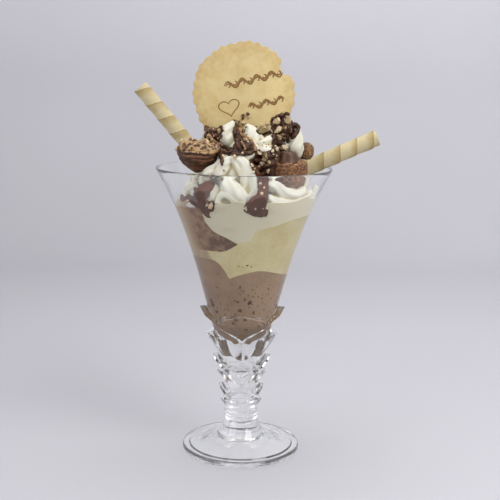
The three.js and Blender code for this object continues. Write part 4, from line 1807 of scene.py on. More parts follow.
# Drizzled strands of sauce that stand out from the patches
STRANDS = [
    Strand(1.2, [(-13.7, 210.5), (-9, 207.9), (-3.6, 207.3), (1.7, 208.7), (6.4, 210.8)]),
    Strand(1.3, [(-5.7, 216), (-4.3, 211.3), (-0.9, 207.3), (4.4, 206.8), (7.7, 210.1)]),
    Strand(1.0, [(-3.1, 216.7), (-0.3, 212), (3.1, 208.7), (7.1, 208.1)]),
    Strand(1.2, [(-25.9, 225), (-25.8, 220.3), (-26.5, 216.3)]),
    Strand(1.3, [(-25.2, 223.7), (-21.2, 221.1), (-17.8, 222.4), (-15.2, 224.5)]),
    Strand(1.2, [(-24.5, 215), (-20.5, 217.7), (-17.1, 216.5), (-15.1, 219.2)]),
    Strand(1.2, [(-25.8, 209.7), (-21.8, 211.7), (-17.1, 211.1), (-12.4, 209.2)]),
    Strand(1.1, [(-20.4, 207.1), (-17.1, 209.8), (-13.7, 207.2), (-9, 206.6)]),
    Strand(0.75, [(7.5, 224.8), (8.9, 220.2), (12.3, 219.5), (15.6, 220.9), (19.6, 221)]),
    Strand(1.5, [(30.9, 224.5), (34.2, 226.5), (35.6, 223.2), (33.7, 219.2), (30.4, 215.1)]),
    Strand(1.3, [(-5.9, 226.6), (-6.5, 222.3), (-6.4, 218.4)]),
    Strand(1.3, [(7.8, 207.5), (13.2, 206.2), (18.5, 208.3), (23.2, 210.4)]),
    Strand(1.4, [(6.5, 202.1), (11.9, 202.2), (17.2, 204.3), (21.9, 205.7)]),
    Strand(1.3, [(7.9, 196.7), (12.6, 198.1), (17.3, 198.9), (20.7, 200.3)]),
    Strand(1.2, [(9.4, 191.4), (13.4, 193.4), (17.4, 194.8)]),
    Strand(1.1, [(-15.7, 205.8), (-15, 201.8), (-14.9, 197.8)]),
    Strand(1.2, [(-42.5, 177.8), (-40.4, 174.4), (-37.7, 177.2), (-33, 174.5), (-27.5, 169.1),
          (-23.4, 163.7)]),
    Strand(0.7, [(-24.2, 172.6), (-20.8, 174), (-20.1, 170.6), (-21.4, 167.2), (-24.8, 168.5)]),
    Strand(1.1, [(-31, 186), (-28.5, 182), (-30.5, 178.5), (-27, 176), (-27.5, 171.5)]),
]

# Strands of brown caramel
CARAMEL = [
    Strand(1.1, [(-3.8, 223.3), (-1.8, 218.7), (3, 216.1), (6.4, 212.1), (7.8, 208.1)]),
    Strand(0.7, [(-2.4, 214.8), (-0.2, 211.2), (0.6, 208.4)]),
    Strand(0.8, [(-24.4, 219.2), (-21, 215.2), (-18.2, 212.8), (-15.2, 212.4)]),
]

# Chopped nuts at the front: x and z as the eye sees them, the radius, and how toasted they are
NUTS = [
    (-19.7, 208.4, 2.2, 0.5), (13.9, 204.2, 2.3, 0.55), (1.0, 215.4, 1.6, 0.6), (25.8, 211.1, 2.0, 0.4),
    (-38.5, 211.5, 1.6, 0.5), (-0.5, 226.7, 2.4, 0.5), (-3.2, 226.0, 2.0, 0.6), (-21.8, 214.4, 2.0, 0.6),
    (-17.2, 221.1, 1.8, 0.6), (-24.5, 217.0, 1.6, 0.6), (11.9, 199.5, 1.6, 0.5), (-6.3, 203.9, 1.8, 0.5),
    (-17.1, 209.1, 1.5, 0.1), (-14.3, 204.5, 1.2, 0.0), (9.8, 206.8, 1.3, 0.1), (11.9, 200.2, 1.6, 0.1),
    (19.2, 208.3, 1.3, 0.1), (21.8, 209.7, 1.3, 0.1), (26.5, 210.4, 2.0, 0.15), (16.6, 200.9, 1.2, 0.0),
    (16.1, 194.8, 1.3, 0.1), (-0.9, 206.7, 1.1, 0.1), (-4.6, 228.6, 1.4, 0.1), (2.8, 230.7, 1.3, 0.2),
    (5.2, 198.7, 1.2, 0.1), (6.6, 194.0, 1.1, 0.2), (2.0, 232.6, 1.1, 1.0), (-1.3, 232.0, 1.0, 1.0),
    (-1.2, 230.0, 1.4, 1.0), (-7.2, 227.9, 1.1, 1.0), (-23.2, 221.7, 1.5, 0.9), (-18.5, 217.8, 1.6, 0.9),
    (-13.7, 208.5, 1.0, 0.8), (0.8, 224.0, 1.5, 0.8), (-0.5, 221.4, 1.4, 0.9), (1.4, 219.5, 1.3, 0.5),
    (12.0, 189.5, 1.2, 0.2), (11.4, 186.6, 1.4, 0.1), (13.3, 183.8, 1.0, 0.4), (12.2, 179.6, 1.3, 0.2),
    (-22.5, 170.2, 1.9, 0.5), (11.4, 225.6, 1.3, 0.3),
    (15.2, 226.4, 1.4, 0.2), (13.6, 223.7, 1.2, 0.2), (17.2, 223.6, 1.3, 0.4), (9.3, 222.6, 1.1, 0.6),
]


@dataclass
class CreamTop:
    """The whipped cream with its chocolate sauce and chopped nuts."""

    glass: FootedGlass
    fillings: Fillings
    wafer: Piece
    cream_reach: float = 0.45
    sauce_reach: float = 0.7
    coat: float = 1.1
    shell: float = 1.2
    level: tuple[float, float, float, float] = (166, 12.5, -44, -20)
    head_radius: float = 57.4
    head_height: float = 60
    voxel: float = 0.68
    sauce_voxel: float = 0.48
    swirls: tuple[Swirl, ...] = (
        Swirl((-3, -26), 168, 205, 15, (2, 3), 6),
        Swirl((-25, -18), 166, 200, 15, (2, 3), 5),
        Swirl((-12, -3), 186, 228, 14, (3, -2), 5),
        Swirl((8, -6), 186, 224, 16, (-3, -2), 6),
        Swirl((31, 0), 178, 222, 15, (3, -5), 5),
        Swirl((26, -21), 163, 188, 20, (2, 3), 6),
        Swirl((-2, 20), 172, 220, 27, (0, -6), 7),
        Swirl((28, 21), 172, 206, 19, (-3, -3), 6),
        Swirl((-30, 16), 166, 202, 18, (3, -2), 6),
    )
    patches: tuple[SaucePatch, ...] = (
        SaucePatch(
            (-60, -2),
            [
                (-27.1, 213.7), (-25.8, 221), (-21.2, 223.1), (-15.9, 225.1), (-14.5, 222.5), (-16.4, 215.8),
                (-12.4, 211.2), (-7.7, 210.6), (-6.4, 216.6), (-7.5, 222.2), (-5.5, 223.9), (-3.6, 222.9),
                (-3.1, 219), (1.6, 214.9), (6.9, 212.8), (4.4, 208.8), (1.1, 205.6), (-2.9, 205),
                (-8.3, 205.4), (-13.7, 205.2), (-14.9, 197.8), (-17, 203.1), (-20.4, 207.1), (-25.8, 209),
            ],
        ),
        SaucePatch(
            (-60, -2),
            [
                (9.1, 209.5), (14.5, 206.9), (18.5, 209), (19, 217), (22.9, 221), (27, 219.8),
                (27.5, 211), (28, 206), (26, 200), (23, 194), (19.5, 190), (16.2, 187.5),
                (16.4, 176.5), (15.1, 171.1), (17.2, 166.3), (13.9, 164.2), (7.1, 166.9), (1.5, 171),
                (4.2, 175.7), (8.9, 179.2), (8.7, 190), (5.9, 195.4), (3.8, 201.4), (7.1, 204.8),
            ],
        ),
        SaucePatch(
            (-60, -6),
            [
                (-33, 182), (-27.6, 186.1), (-21.6, 184.2), (-22.9, 180.1), (-25.6, 176.6), (-26.2, 170.5),
                (-23.5, 166.4), (-22.1, 162.4), (-25.5, 163.7), (-30.9, 169.1), (-35, 172.4), (-38.4, 175.1),
                (-41.8, 175.1), (-42.5, 178.4), (-38.4, 179.2), (-34.3, 175.8),
            ],
        ),
    )

    def cream_level(self, x: Array, y: Array) -> Array:
        """The level of the cream between its swirls."""
        low, rise, start, end = self.level
        level = low + rise * smooth(start, end, x)
        return level + 1.3 * ripple(x * 0.3, y * 0.3, 0 * x + 9, 1)

    def envelope(self, reach: float) -> Piece:
        """The glass's hollow and the free space above the rim.

        Args:
            reach: how far it reaches into the wall.

        Returns:
            The solid.
        """
        rim = self.glass.rim_height
        room = self.glass.hollow(reach, rim)
        profile = [(0, rim - 1), (self.head_radius, rim - 1)]
        profile += [(self.head_radius, rim + self.head_height), (0, rim + self.head_height)]
        return combine(room, turned("head", profile, self.glass.segments), Fit.JOIN)

    def mass(self, name: str, grow: float) -> Piece:
        """The cream's mass as one rounded skin.

        Args:
            name: its name.
            grow: how much thicker it is taken.

        Returns:
            The skin.
        """
        parts = [part for swirl in self.swirls for part in swirl.parts(grow)]
        parts += [fold.build(grow) for fold in FOLDS]
        for number, ((x, z, depth), radii) in enumerate(LOBES):
            grown = tuple(radius + grow for radius in radii)
            parts.append(lump("lobe", seen(x, z, depth), grown, 0.05, number))
        bed = self.fillings.under(self.cream_level, grow)
        combine(bed, turned("core", [(0, 120), (58, 120), (58, 240), (0, 240)], 96), Fit.KEEP)
        return rounded_off(merged(name, [*parts, bed]), self.voxel)

    def settled(self, piece: Piece, reach: float) -> Piece:
        """A piece kept inside the glass and above the ice cream.

        Args:
            piece: the piece.
            reach: how far it reaches into the wall.

        Returns:
            The same piece.
        """
        combine(piece, self.envelope(reach), Fit.KEEP)
        for level in (self.fillings.vanilla_level, self.fillings.scoop_top):
            combine(piece, self.fillings.under(level, 0.02), Fit.CUT)
        return piece

    def build(self) -> Piece:
        """Builds and dresses the cream, the sauce, the strands and the nuts.

        Returns:
            The cream, for what stands on it.
        """
        cream = largest(self.settled(self.mass("cream", 0.0), self.cream_reach))
        # The crease depth paints yellow shade into the cream's colour.
        shaded(store_crease_shade(cream, 14, 0.45), SoftCream().make(), 50)
        self.glass.pressed(cream, SoftCream().make_pressed())
        enter(cream, "cream", "whipped_cream")
        syrup = Syrup()
        sauce = self.sauce(cream)
        shaded(sauce, syrup.make(), 40)
        self.glass.pressed(sauce, syrup.make_pressed(), 16)
        enter(sauce, "cream")
        sight = surfaces([cream, sauce, self.wafer])
        caramel = merged("caramel_strands", [strand.build(sight) for strand in CARAMEL])
        enter(shaded(caramel, Caramel().make()), "cream")
        self.nuts(sight)
        self.crumbs(cream, sauce)
        return cream

    def sauce(self, cream: Piece) -> Piece:
        """The sauce: a coat within its patches, and drizzled strands over it.

        Args:
            cream: the cream it lies on.

        Returns:
            The sauce, not yet dressed.
        """
        coat = combine(self.mass("sauce", self.coat), self.envelope(self.sauce_reach), Fit.KEEP)
        stencil = self.patches[0].prism()
        for patch in self.patches[1:]:
            combine(stencil, patch.prism(), Fit.JOIN)
        combine(coat, stencil, Fit.KEEP)
        inside = combine(self.mass("inside", -self.shell), self.envelope(-self.shell), Fit.KEEP)
        combine(coat, inside, Fit.CUT)
        sight = surfaces([cream, coat, self.wafer])
        strands = [strand.build(sight) for strand in STRANDS]
        pools = [combine(pool.build(0), self.envelope(self.sauce_reach), Fit.KEEP) for pool in POOLS]
        sauce = rounded_off(merged("sauce", [coat, *strands, *pools]), self.sauce_voxel)
        points, normals = points_of(sauce)
        x, y, z = points.T
        swell = 0.3 * ripple(x * 1.1, y * 1.1, z * 1.1, 5) + 0.12 * ripple(x * 3.1, y * 3.1, z * 3.1, 8)
        points += normals * swell[:, None]
        sauce.data.vertices.foreach_set("co", (points * MM).ravel())
        return self.settled(sauce, self.sauce_reach)

    def nuts(self, sight: BVHTree) -> None:
        """The chopped nuts that show at the front, one by one.

        Args:
            sight: the surfaces they lie on.
        """
        rows = np.asarray(NUTS)
        places = np.vstack([laid(row[None, :2], sight, row[2] * 0.4) for row in rows])
        base = bit_places(places, rows[:, 2] / 1.5, rows[:, 3])
        enter(chopped_bits("chopped_nuts", base, NutFlesh().make(), 1.5, 1, 4), "cream")

    def crumbs(self, cream: Piece, sauce: Piece) -> None:
        """Finer nut crumbs on the sauce, and a few on the cream.

        Args:
            cream: the cream.
            sauce: the sauce.
        """

        def share(points: Array, normals: Array) -> Array:
            """Where crumbs lie: thickly on the left heap and round the cluster, thinly elsewhere."""
            x, y, z = points.T
            heap = 1 - smooth(7, 10, np.hypot(x + 21, z - 216))
            right = 1 - smooth(9, 13, np.hypot(x - 17, z - 205))
            front = np.maximum(0.8 * heap, 0.45 * right) * (normals[:, 1] < 0.3)
            above = 0.07 * (normals[:, 2] > 0.3) * (z > 198)
            return np.maximum(front, above) * (z > 192)

        base = merged("crumb_base", [piece_of("a", cream.data.copy()), piece_of("b", sauce.data.copy())])
        enter(chopped_bits("nut_crumbs", masked(base, share), NutFlesh().make(), 0.75, 1.9, 6), "cream")


# Toppings


def outlined_disc(name: str, outline: Array, half: float) -> Piece:
    """A flat disc with rounded edges, standing upright and facing the front.

    Args:
        name: its name.
        outline: x and z of its rim, about its centre.
        half: half its thickness.

    Returns:
        The disc, with a rim attribute that is 1 at its edge.
    """
    shares = [0.25, 0.45, 0.62, 0.76, 0.86, 0.93, 0.97, 0.992]
    front = [(share, -half * (1 if share < 0.97 else 0.72)) for share in shares]
    rows = [*front, (1.0, 0.0), *[(share, -y) for share, y in reversed(front)]]
    points, rim = [(0.0, -half, 0.0)], [0.0]
    for share, y in rows:
        uneven = 0.12 * ripple(outline[:, 0] * share * 0.6, outline[:, 1] * share * 0.6, outline[:, 0] * 0, 3)
        points += [(p[0] * share, y + u, p[1] * share) for p, u in zip(outline, uneven)]
        rim += [share] * len(outline)
    points.append((0.0, half, 0.0))
    faces = [face[::-1] for face in ringed(len(rows), len(outline))]
    return store(piece_from(name, np.asarray(points), faces), "rim", [*rim, 0.0])


@dataclass
class WaferDisc:
    """The round scalloped wafer, with a burnt heart and a scroll on its face."""

    radius: float = 34.2
    thick: float = 2.3
    scallops: int = 34
    wave: float = 0.55
    at: Triple = (-1, 9, 246)
    lean: float = 2
    chip: Triple = (15, 45, 5.0)
    heart_at: Pair = (-9.5, -9.3)
    heart_width: float = 14.0
    rise: float = 14

    def outline(self) -> Array:
        """The wafer's uneven outline about its centre."""
        angle = np.linspace(0, 2 * math.pi, self.scallops * 14, endpoint=False)
        turn = np.degrees(angle)
        start, end, deep = self.chip
        half = (end - start) / 2
        chipped = deep * smooth(start, start + half, turn) * (1 - smooth(end - half, end, turn))
        ragged = 0.35 * np.sin(angle * 5 + 1) + 0.3 * np.sin(angle * 11 + 4)
        radius = self.radius + self.wave * np.cos(angle * self.scallops) + ragged - chipped
        return np.column_stack([radius * np.cos(angle), radius * np.sin(angle)])

    def marks(self) -> list[tuple[Array, float]]:
        """The burnt lines: a heart, and two scrolls with leaves, as points on the face and a half-width."""
        t = np.linspace(0.08, 2 * math.pi - 0.02, 80)
        high = 11 * np.cos(t) - 4.4 * np.cos(2 * t) - 1.6 * np.cos(3 * t) - 0.8 * np.cos(4 * t)
        heart = np.column_stack([16 * np.sin(t) ** 3, high])
        turn = math.radians(self.rise)
        spin = np.array([[math.cos(turn), math.sin(turn)], [-math.sin(turn), math.cos(turn)]])
        lines = [(heart * self.heart_width / 32 @ spin + self.heart_at, 0.36)]
        for start, length, waves, height, weight in ((-13, 40, 4.0, 2.3, 0.75), (3.2, 25, 2.5, 2.0, 0.75)):
            along = np.linspace(0, length, 90)
            level = 4.6 if start < 0 else -9.0
            vine = np.column_stack([along, height * np.sin(along / length * waves * 2 * math.pi)])
            lines.append((vine @ spin + (start, level), weight))
            for k in range(int(waves * 2)):
                middle = (k + 0.5) / (waves * 2) * length
                side = 1 if k % 2 else -1
                curl = np.linspace(0, 1.55 * math.pi, 26)
                size = 1.5 - 0.55 * curl / curl[-1]
                out = side * (0.2 + size * np.cos(curl) * 0.9)
                hook = np.column_stack([middle + size * np.sin(curl), out])
                lines.append((hook @ spin + (start, level), weight * 0.62))
        return lines

    def build(self) -> Piece:
        """Builds and dresses the wafer and its burnt lines.

        Returns:
            The wafer, for what lies on it.
        """
        disc = outlined_disc("wafer", self.outline(), self.thick / 2)
        ropes = []
        for line, half in self.marks():
            path = np.column_stack([line[:, 0], np.full(len(line), -self.thick / 2 - 0.02), line[:, 1]])
            reach = half * np.clip(np.sin(np.linspace(0.15, math.pi - 0.15, len(line))) * 2.2, 0.35, 1)
            ropes.append(rope("line", path, reach))
        marks = merged("wafer_marks", ropes)
        for vertex in marks.data.vertices:
            face = -(self.thick / 2 + 0.05) * MM
            vertex.co.y = face + (vertex.co.y - face) * 0.28
        place = Matrix.Translation(Vector(self.at) * MM) @ Matrix.Rotation(-math.radians(self.lean), 4, "X")
        for piece in (disc, marks):
            piece.data.transform(place)
        enter(shaded(disc, BakedWafer().make(), 60), "wafer", "wafer_disc")
        enter(shaded(marks, Toast().make()), "wafer")
        return disc


@dataclass
class WaferRoll:
    """A rolled wafer whose band winds round it, with a scrolled end."""

    name: str
    node: str
    tip: Triple
    foot: Triple
    radius: float
    pitch: float = 12
    band: float = 0.42
    bore: float = 2.6
    bore_depth: float = 9

    def build(self) -> None:
        """Builds and dresses the roll."""
        start, end = Vector(self.foot), Vector(self.tip)
        length = (end - start).length
        rows, segments = int(length / 0.6), 72
        levels = [0.0, *np.linspace(0, length - 0.35, rows), length]
        deep = length - self.bore_depth
        inside = [(self.bore + 0.9, length), (self.bore + 0.2, length - 0.4)]
        inside += [(self.bore, length - 1), (self.bore, deep)]
        table = [(0.0, 0.0), *[(self.radius, level) for level in levels[1:-1]], (self.radius - 0.4, length)]
        table += [*inside, (0.0, deep)]
        outline = np.asarray(table)
        last = len(levels) - 2

        def place(row: Array, angle: Array) -> tuple:
            """The point of a ring, with the winding band's step."""
            index = row.astype(int)
            radius, level = outline[index, 0], outline[index, 1]
            phase = (level / self.pitch + angle / (2 * math.pi)) % 1
            dent = 0.16 * ripple(level * 0.35, angle * 2, level * 0.2, 5)
            outer = (index > 0) & (index <= last + 1)
            radius = radius + np.where(outer, self.band * (phase - 0.5) + dent, 0)
            radius = np.where((index == 0) | (index == len(outline) - 1), 0, radius)
            return *around(radius, angle), level

        roll = skin(self.name, len(outline), segments, place)
        x, y, z = points_of(roll)[0].T
        winding = (z / self.pitch + np.arctan2(x, -y) / (2 * math.pi)) % 1
        inner = np.hypot(x, y) < self.bore + 1.0
        store(roll, "winding", np.where(inner, 0.75, winding))
        turn = (end - start).to_track_quat("Z", "Y").to_matrix().to_4x4()
        material = RolledWafer().make()
        for piece, nodes in ((roll, [self.node]), (self.scroll(length), [])):
            piece.data.transform(Matrix.Translation(start * MM) @ turn)
            enter(shaded(piece, material, 45), "rolled_wafer", *nodes)

    def scroll(self, length: float) -> Piece:
        """The inner windings that show in the roll's end.

        Args:
            length: the roll's length.

        Returns:
            The scroll, along Z.
        """
        n, thick = 60, 0.44
        turns = np.linspace(0, 1.6, n)
        outer = self.bore + 0.05 - turns
        angle = 2 * math.pi * turns
        rings = []
        for level in (length - self.bore_depth + 0.1, length - 0.6):
            for reach in (outer, outer - thick):
                rings.append(np.column_stack([*around(reach, angle), np.full(n, level)]))
        faces = [(0, 2 * n, 3 * n, n), (n - 1, 2 * n - 1, 4 * n - 1, 3 * n - 1)]
        for i in range(n - 1):
            for a, b in ((0, 2), (3, 1), (2, 3), (1, 0)):
                faces.append((a * n + i, a * n + i + 1, b * n + i + 1, b * n + i))
        scroll = facing_out(piece_from(self.name + "_scroll", np.vstack(rings), faces))
        return store(scroll, "winding", np.full(4 * n, 0.6))


@dataclass
class HalfPraline:
    """A halved praline, cut side up, with ragged layers and a heaped crown."""

    name: str
    node: str
    at: Triple
    radius: float
    depth: float
    crown: float
    tilt: float
    rough: float
    seed: int
    finish: Praline
    layers: float
    bits: float
    taper: bool

    def build(self) -> None:
        """Builds and dresses the praline, and the nuts on its crown."""
        rows, segments, lower = 96, 150, 60
        leaning = math.radians(self.tilt)

        def place(row: Array, angle: Array) -> tuple:
            """The point of a row."""
            below = row <= lower
            t = np.where(below, row / lower, (row - lower) / (rows - 1 - lower))
            arc = (math.pi / 2) * np.where(below, 1 - t, t)
            level = np.where(below, -self.depth * np.sin(arc), self.crown * np.abs(np.sin(arc)) ** 0.8)
            pole = (row > 0) & (row < rows - 1)
            uneven = 1 + self.rough * ripple(6 * np.sin(angle), 6 * np.cos(angle), level * 0.5, self.seed)
            wander = 0.9 * np.sin(angle * 2 + self.seed) + 0.5 * np.sin(angle * 5 + level * 0.2)
            leaf = np.abs(np.sin((level + wander) * 1.15 + 0.4 * np.sin(angle * 3)))
            flake = self.layers * (leaf - 0.6) * below
            grit = 0.012 * ripple(angle * 17, level * 3.1, angle * 9, self.seed + 2)
            rounding = np.maximum(np.cos(arc), 0)
            if self.taper:
                form = np.where(below, np.maximum(1 - np.sin(arc) ** 2.2, 0) ** 0.85, rounding**0.8)
            else:
                form = rounding ** np.where(below, 0.55, 0.8)
            radius = self.radius * form * (uneven + flake + grit)
            radius = np.where(pole, radius, 0)
            x, y = around(radius, angle)
            heap = 1.3 * ripple(x * 0.9, -y * 0.9, level, self.seed)
            heap = heap + 0.5 * ripple(x * 2.3, -y * 2.3, level, self.seed + 1)
            z = level + np.where(below, 0, heap) * pole
            across = x * math.cos(leaning) + z * math.sin(leaning)
            up = z * math.cos(leaning) - x * math.sin(leaning)
            return self.at[0] + across, self.at[1] + y, self.at[2] + up

        praline = skin(self.name, rows, segments, place)
        crown = np.repeat(np.arange(rows) > lower - 4, [1, *[segments] * (rows - 2), 1])
        store(praline, "crown", crown * min(1.0, 2 * self.bits))
        enter(shaded(praline, self.finish.make()), "praline", self.node)
        if self.bits:
            self.scatter(praline)

    def scatter(self, praline: Piece) -> None:
        """Chopped nuts on the crown.

        Args:
            praline: the praline's mesh.
        """

        def share(points: Array, normals: Array) -> Array:
            """Where nuts lie on the crown."""
            return self.bits * (points[:, 2] > self.at[2] + 0.5) * (normals[:, 2] > 0.25)

        base = masked(piece_of("crown_base", praline.data.copy()), share)
        enter(chopped_bits(self.name + "_nuts", base, NutFlesh().make(), 1.6, 2.9, self.seed, 0.6), "praline")


@dataclass
class ChocolateCap:
    """The smooth moulded chocolate shell on the right praline."""

    at: Triple = (28.2, -24, 203.6)
    radius: float = 7.2
    top: float = 4.4
    height: float = 6.6
    thick: float = 1.4

    def build(self) -> None:
        """Builds and dresses the cap."""
        r, top, h, thick = self.radius, self.top, self.height, self.thick
        profile = [(0, -thick), (r - 0.8, -thick), (r, -thick + 0.6), (r, -0.3), (r - 0.7, 0.4)]
        profile += [(top + 1.1, h - 2.0), (top + 0.4, h - 0.6), (top - 0.8, h), (0, h + 0.2)]
        cap = turned("chocolate_cap_shell", profile, 64)
        cap.data.transform(Matrix.Translation(Vector(self.at) * MM))
        modified(cap, "SUBSURF", levels=2, render_levels=2)
        enter(shaded(cap, MouldedChocolate().make()), "cap", "chocolate_cap")


@dataclass
class NutCluster:
    """A heap of caramelised hazelnuts held together with dark sauce."""

    at: Triple = (24.6, -6, 221.5)
    radii: Triple = (7.4, 6.2, 11.2)
    rough: float = 0.34
    seed: int = 21
    seat: Pair = (7, 5.8)
    levels: Triple = (-5.5, 0.5, 6.5)
    nuts: tuple[tuple[float, float, float, float], ...] = (
        (21.4, 228.4, 4.0, 0.5), (28.0, 228.4, 4.6, 0.5), (27.4, 223.0, 4.2, 0.6), (22.6, 222.4, 2.8, 0.05),
        (22.9, 217.0, 2.4, 0.4), (26.6, 214.8, 2.6, 0.35), (26.6, 218.6, 3.2, 0.7), (24.6, 231.6, 2.0, 0.9),
        (30.4, 222.0, 1.6, 0.1), (24.2, 213.0, 1.5, 0.2), (25.2, 209.8, 2.6, 0.15), (30.6, 216.4, 1.5, 0.3),
    )
    strands: tuple[Strand, ...] = (
        Strand(1.0, [(18.2, 228.4), (19.9, 230.2), (22.6, 231.9), (25.2, 231.2), (27.4, 233.4),
              (29.8, 232.6)]),
        Strand(0.8, [(17.9, 224.6), (20.2, 226), (22.4, 225.4), (25.1, 227.4), (25.9, 222.4), (23, 219.7)]),
        Strand(1.3, [(18.6, 219.6), (20.4, 215), (19.4, 209.6), (21.2, 205.7)]),
        Strand(0.8, [(24.8, 231.3), (26.2, 227), (28.6, 225.4), (28, 221), (26.4, 217.7)]),
        Strand(0.9, [(30.6, 227), (30.2, 222.5), (28.5, 218), (29, 213.5)]),
    )

    def build(self, cream: Piece) -> None:
        """Builds and dresses the heap's core, its nuts and its strands.

        Args:
            cream: the cream it stands on.
        """
        core = lump("cluster_core", self.at, self.radii, self.rough, self.seed)
        rows = np.asarray(self.nuts)
        sight = surfaces([core])
        places = np.vstack([laid(row[None, :2], sight, row[2] * 0.1) for row in rows])
        (x, y, _), (wide, deep) = self.at, self.seat
        for turn in np.arange(0.9, 5.6, 0.55):
            for level in self.levels:
                out = math.sqrt(1 - (level / self.radii[2]) ** 2)
                high = self.at[2] + level + 2 * math.sin(3 * turn)
                spot = (x + wide * out * math.sin(turn), y - deep * out * math.cos(turn), high)
                places = np.vstack([places, spot])
        more = len(places) - len(rows)
        sizes = np.concatenate([rows[:, 2], 1.6 + 0.7 * np.sin(np.arange(more) * 2.3)])
        tones = np.concatenate([rows[:, 3], 0.5 + 0.5 * np.sin(np.arange(more) * 1.7)])
        base = bit_places(places, sizes / 2, tones)
        bits = chopped_bits("cluster_nuts", base, NutFlesh().make(), 2.0, 1, self.seed, 0.9)
        syrup = Syrup().make()
        base = piece_of("coat_base", core.data.copy())
        store(base, "mask", np.full(len(base.data.vertices), 0.45))
        crumbs = chopped_bits("cluster_crumbs", base, syrup, 1.15, 2.3, self.seed, 0.9)
        onto = surfaces([core, bits, cream])
        strands = merged("cluster_strands", [strand.build(onto) for strand in self.strands])
        enter(shaded(core, syrup), "cluster", "nut_cluster")
        enter(bits, "cluster")
        enter(crumbs, "cluster")
        enter(shaded(strands, syrup), "cluster")


# The studio


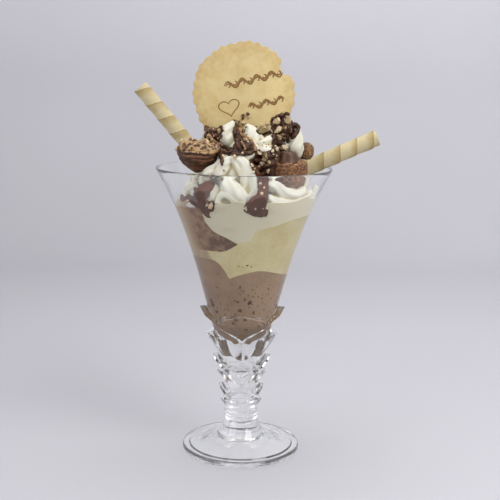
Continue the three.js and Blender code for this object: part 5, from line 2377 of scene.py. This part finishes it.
@dataclass
class Studio:
    """A pale seamless floor and wall, soft light, and the camera of the photograph."""

    pitch: float = 10.07
    pan: float = 0.38
    roll: float = 0.841
    focal: float = 964.7
    frame_width: float = 500
    sensor: float = 36
    front: float = 0.42
    back: float = 0.88

    def camera(self) -> None:
        """Sets the camera."""
        pitch, pan, roll = (math.radians(a) for a in (self.pitch, self.pan, self.roll))
        ahead = Vector((math.sin(pan) * math.cos(pitch), math.cos(pan) * math.cos(pitch), -math.sin(pitch)))
        right = ahead.cross(Vector((0, 0, 1))).normalized()
        up = right.cross(ahead)
        rolled = math.cos(roll) * right + math.sin(roll) * up
        upright = -math.sin(roll) * right + math.cos(roll) * up
        data = bpy.data.cameras.new("camera")
        data.sensor_width = self.sensor
        data.lens = self.focal / self.frame_width * self.sensor
        data.clip_start = 0.01
        camera = piece_of("camera", data)
        turn = Matrix((rolled, upright, -ahead)).transposed().to_4x4()
        camera.matrix_world = Matrix.Translation(Vector(EYE) * MM) @ turn
        bpy.context.scene.camera = camera

    def sweep(self) -> None:
        """The seamless floor and wall, with painted shade: darker low down and towards the left."""
        wide, near, far, bend, tall, gap = 1600.0, -1400.0, 900.0, 260.0, 1900.0, 0.4
        line = [(near, -gap), (far - bend, -gap)]
        line += [
            (far - bend + bend * math.sin(a), bend - bend * math.cos(a) - gap)
            for a in np.linspace(0.1, math.pi / 2, 14)
        ]
        line.append((far, tall))
        points = [(side, y, z) for y, z in line for side in (-wide, wide)]
        faces = [(2 * i, 2 * i + 1, 2 * i + 3, 2 * i + 2) for i in range(len(line) - 1)]
        sweep = piece_from("studio_sweep", np.asarray(points), faces)
        sheet = Sheet("pale_floor")
        # Painted shade and light: darker on the floor and to the left, lighter up the wall and to the right.
        share = sheet.noise(320, 2) * 0.15 + sheet.axis("Z").step(-30, 430) * 0.6
        share = share + sheet.axis("X").step(-420, 420) * 0.3
        colour = sheet.blend(share, tint(168, 167, 172), tint(210, 209, 215))
        shaded(sweep, sheet.close(Base_Color=colour, Roughness=0.9))

    def lamp(self, name: str, at: tuple, size: float, power: float, warmth: Colour) -> None:
        """A soft square lamp aimed at the glass.

        Args:
            name: its name.
            at: its place in millimetres.
            size: its width in millimetres.
            power: its power in watts.
            warmth: its colour.
        """
        data = bpy.data.lights.new(name, "AREA")
        data.size = size * MM
        data.energy = power
        data.color = warmth
        place = Vector(at) * MM
        aim = Vector((0, 0, 0.15)) - place
        turn = aim.to_track_quat("-Z", "Y").to_matrix().to_4x4()
        piece_of(name, data).matrix_world = Matrix.Translation(place) @ turn

    def light(self) -> None:
        """The lamps and the even light of the room."""
        self.lamp("key", (750, -650, 1000), 700, 10.6, (1.0, 0.985, 0.97))
        self.lamp("fill", (-900, -700, 600), 800, 5.4, (0.97, 0.98, 1.0))
        self.lamp("top", (0, 150, 1200), 900, 6, (1.0, 1.0, 1.0))
        world = bpy.data.worlds.new("room")
        world.use_nodes = True
        tree = world.node_tree
        background = tree.nodes["Background"]
        background.inputs["Color"].default_value = (0.93, 0.94, 0.97, 1)
        place = add_node(tree, "ShaderNodeTexCoord", {}, {}).outputs["Generated"]
        along = add_node(tree, "ShaderNodeSeparateXYZ", {}, {0: place}).outputs["Y"]
        inputs = {"Value": along, "From Min": -0.9, "From Max": 0.1}
        inputs |= {"To Min": self.front, "To Max": self.back}
        strength = add_node(tree, "ShaderNodeMapRange", {}, inputs).outputs["Result"]
        tree.links.new(strength, background.inputs["Strength"])
        bpy.context.scene.world = world

    def build(self) -> None:
        """Builds the whole studio."""
        bpy.context.scene.view_settings.view_transform = "Standard"
        self.camera()
        self.sweep()
        self.light()


def main() -> None:
    """Builds the coupe in order, then the studio."""
    logging.basicConfig(level=logging.INFO, format="%(name)s: %(message)s")
    glass = FootedGlass()
    glass.build(ClearGlass().make())
    fillings = Fillings(glass)
    fillings.build()
    cream = CreamTop(glass, fillings, WaferDisc().build()).build()
    WaferRoll("roll_left", "wafer_roll_left", (-69.8, 3, 249.4), (-24, 3, 195.4), 5.1).build()
    WaferRoll("roll_right", "wafer_roll_right", (89.3, 3, 218), (29, 3, 191.0), 5.4).build()
    dark = Praline("layered_praline", tint(62, 34, 20), tint(118, 78, 50), tint(164, 120, 78))
    grainy = Praline("grainy_praline", tint(90, 54, 32), tint(150, 107, 69), tint(182, 140, 92), 1.1, 1.5)
    flaky = Praline("flaky_praline", tint(78, 50, 30), tint(142, 106, 62), tint(190, 156, 98), 2.6, 0.3)
    for side, at, *sizes, finish, layers, bits, taper in (
        ("left", (-29.7, -22, 210.2), 13.8, 15.4, 5.5, 4, 0.05, 3, dark, 0.05, 0.8, True),
        ("right", (28.8, -21, 201.6), 12.6, 17.6, 2.0, -1, 0.04, 5, grainy, 0.02, 0.0, False),
        ("small", (40.8, -9, 208.6), 5.0, 5.0, 5.6, 8, 0.08, 9, flaky, 0.05, 0.0, False),
    ):
        HalfPraline(side + "_praline", "praline_" + side, at, *sizes, finish, layers, bits, taper).build()
    ChocolateCap().build()
    NutCluster().build(cream)
    Studio().build()


if __name__ == "__main__":
    main()
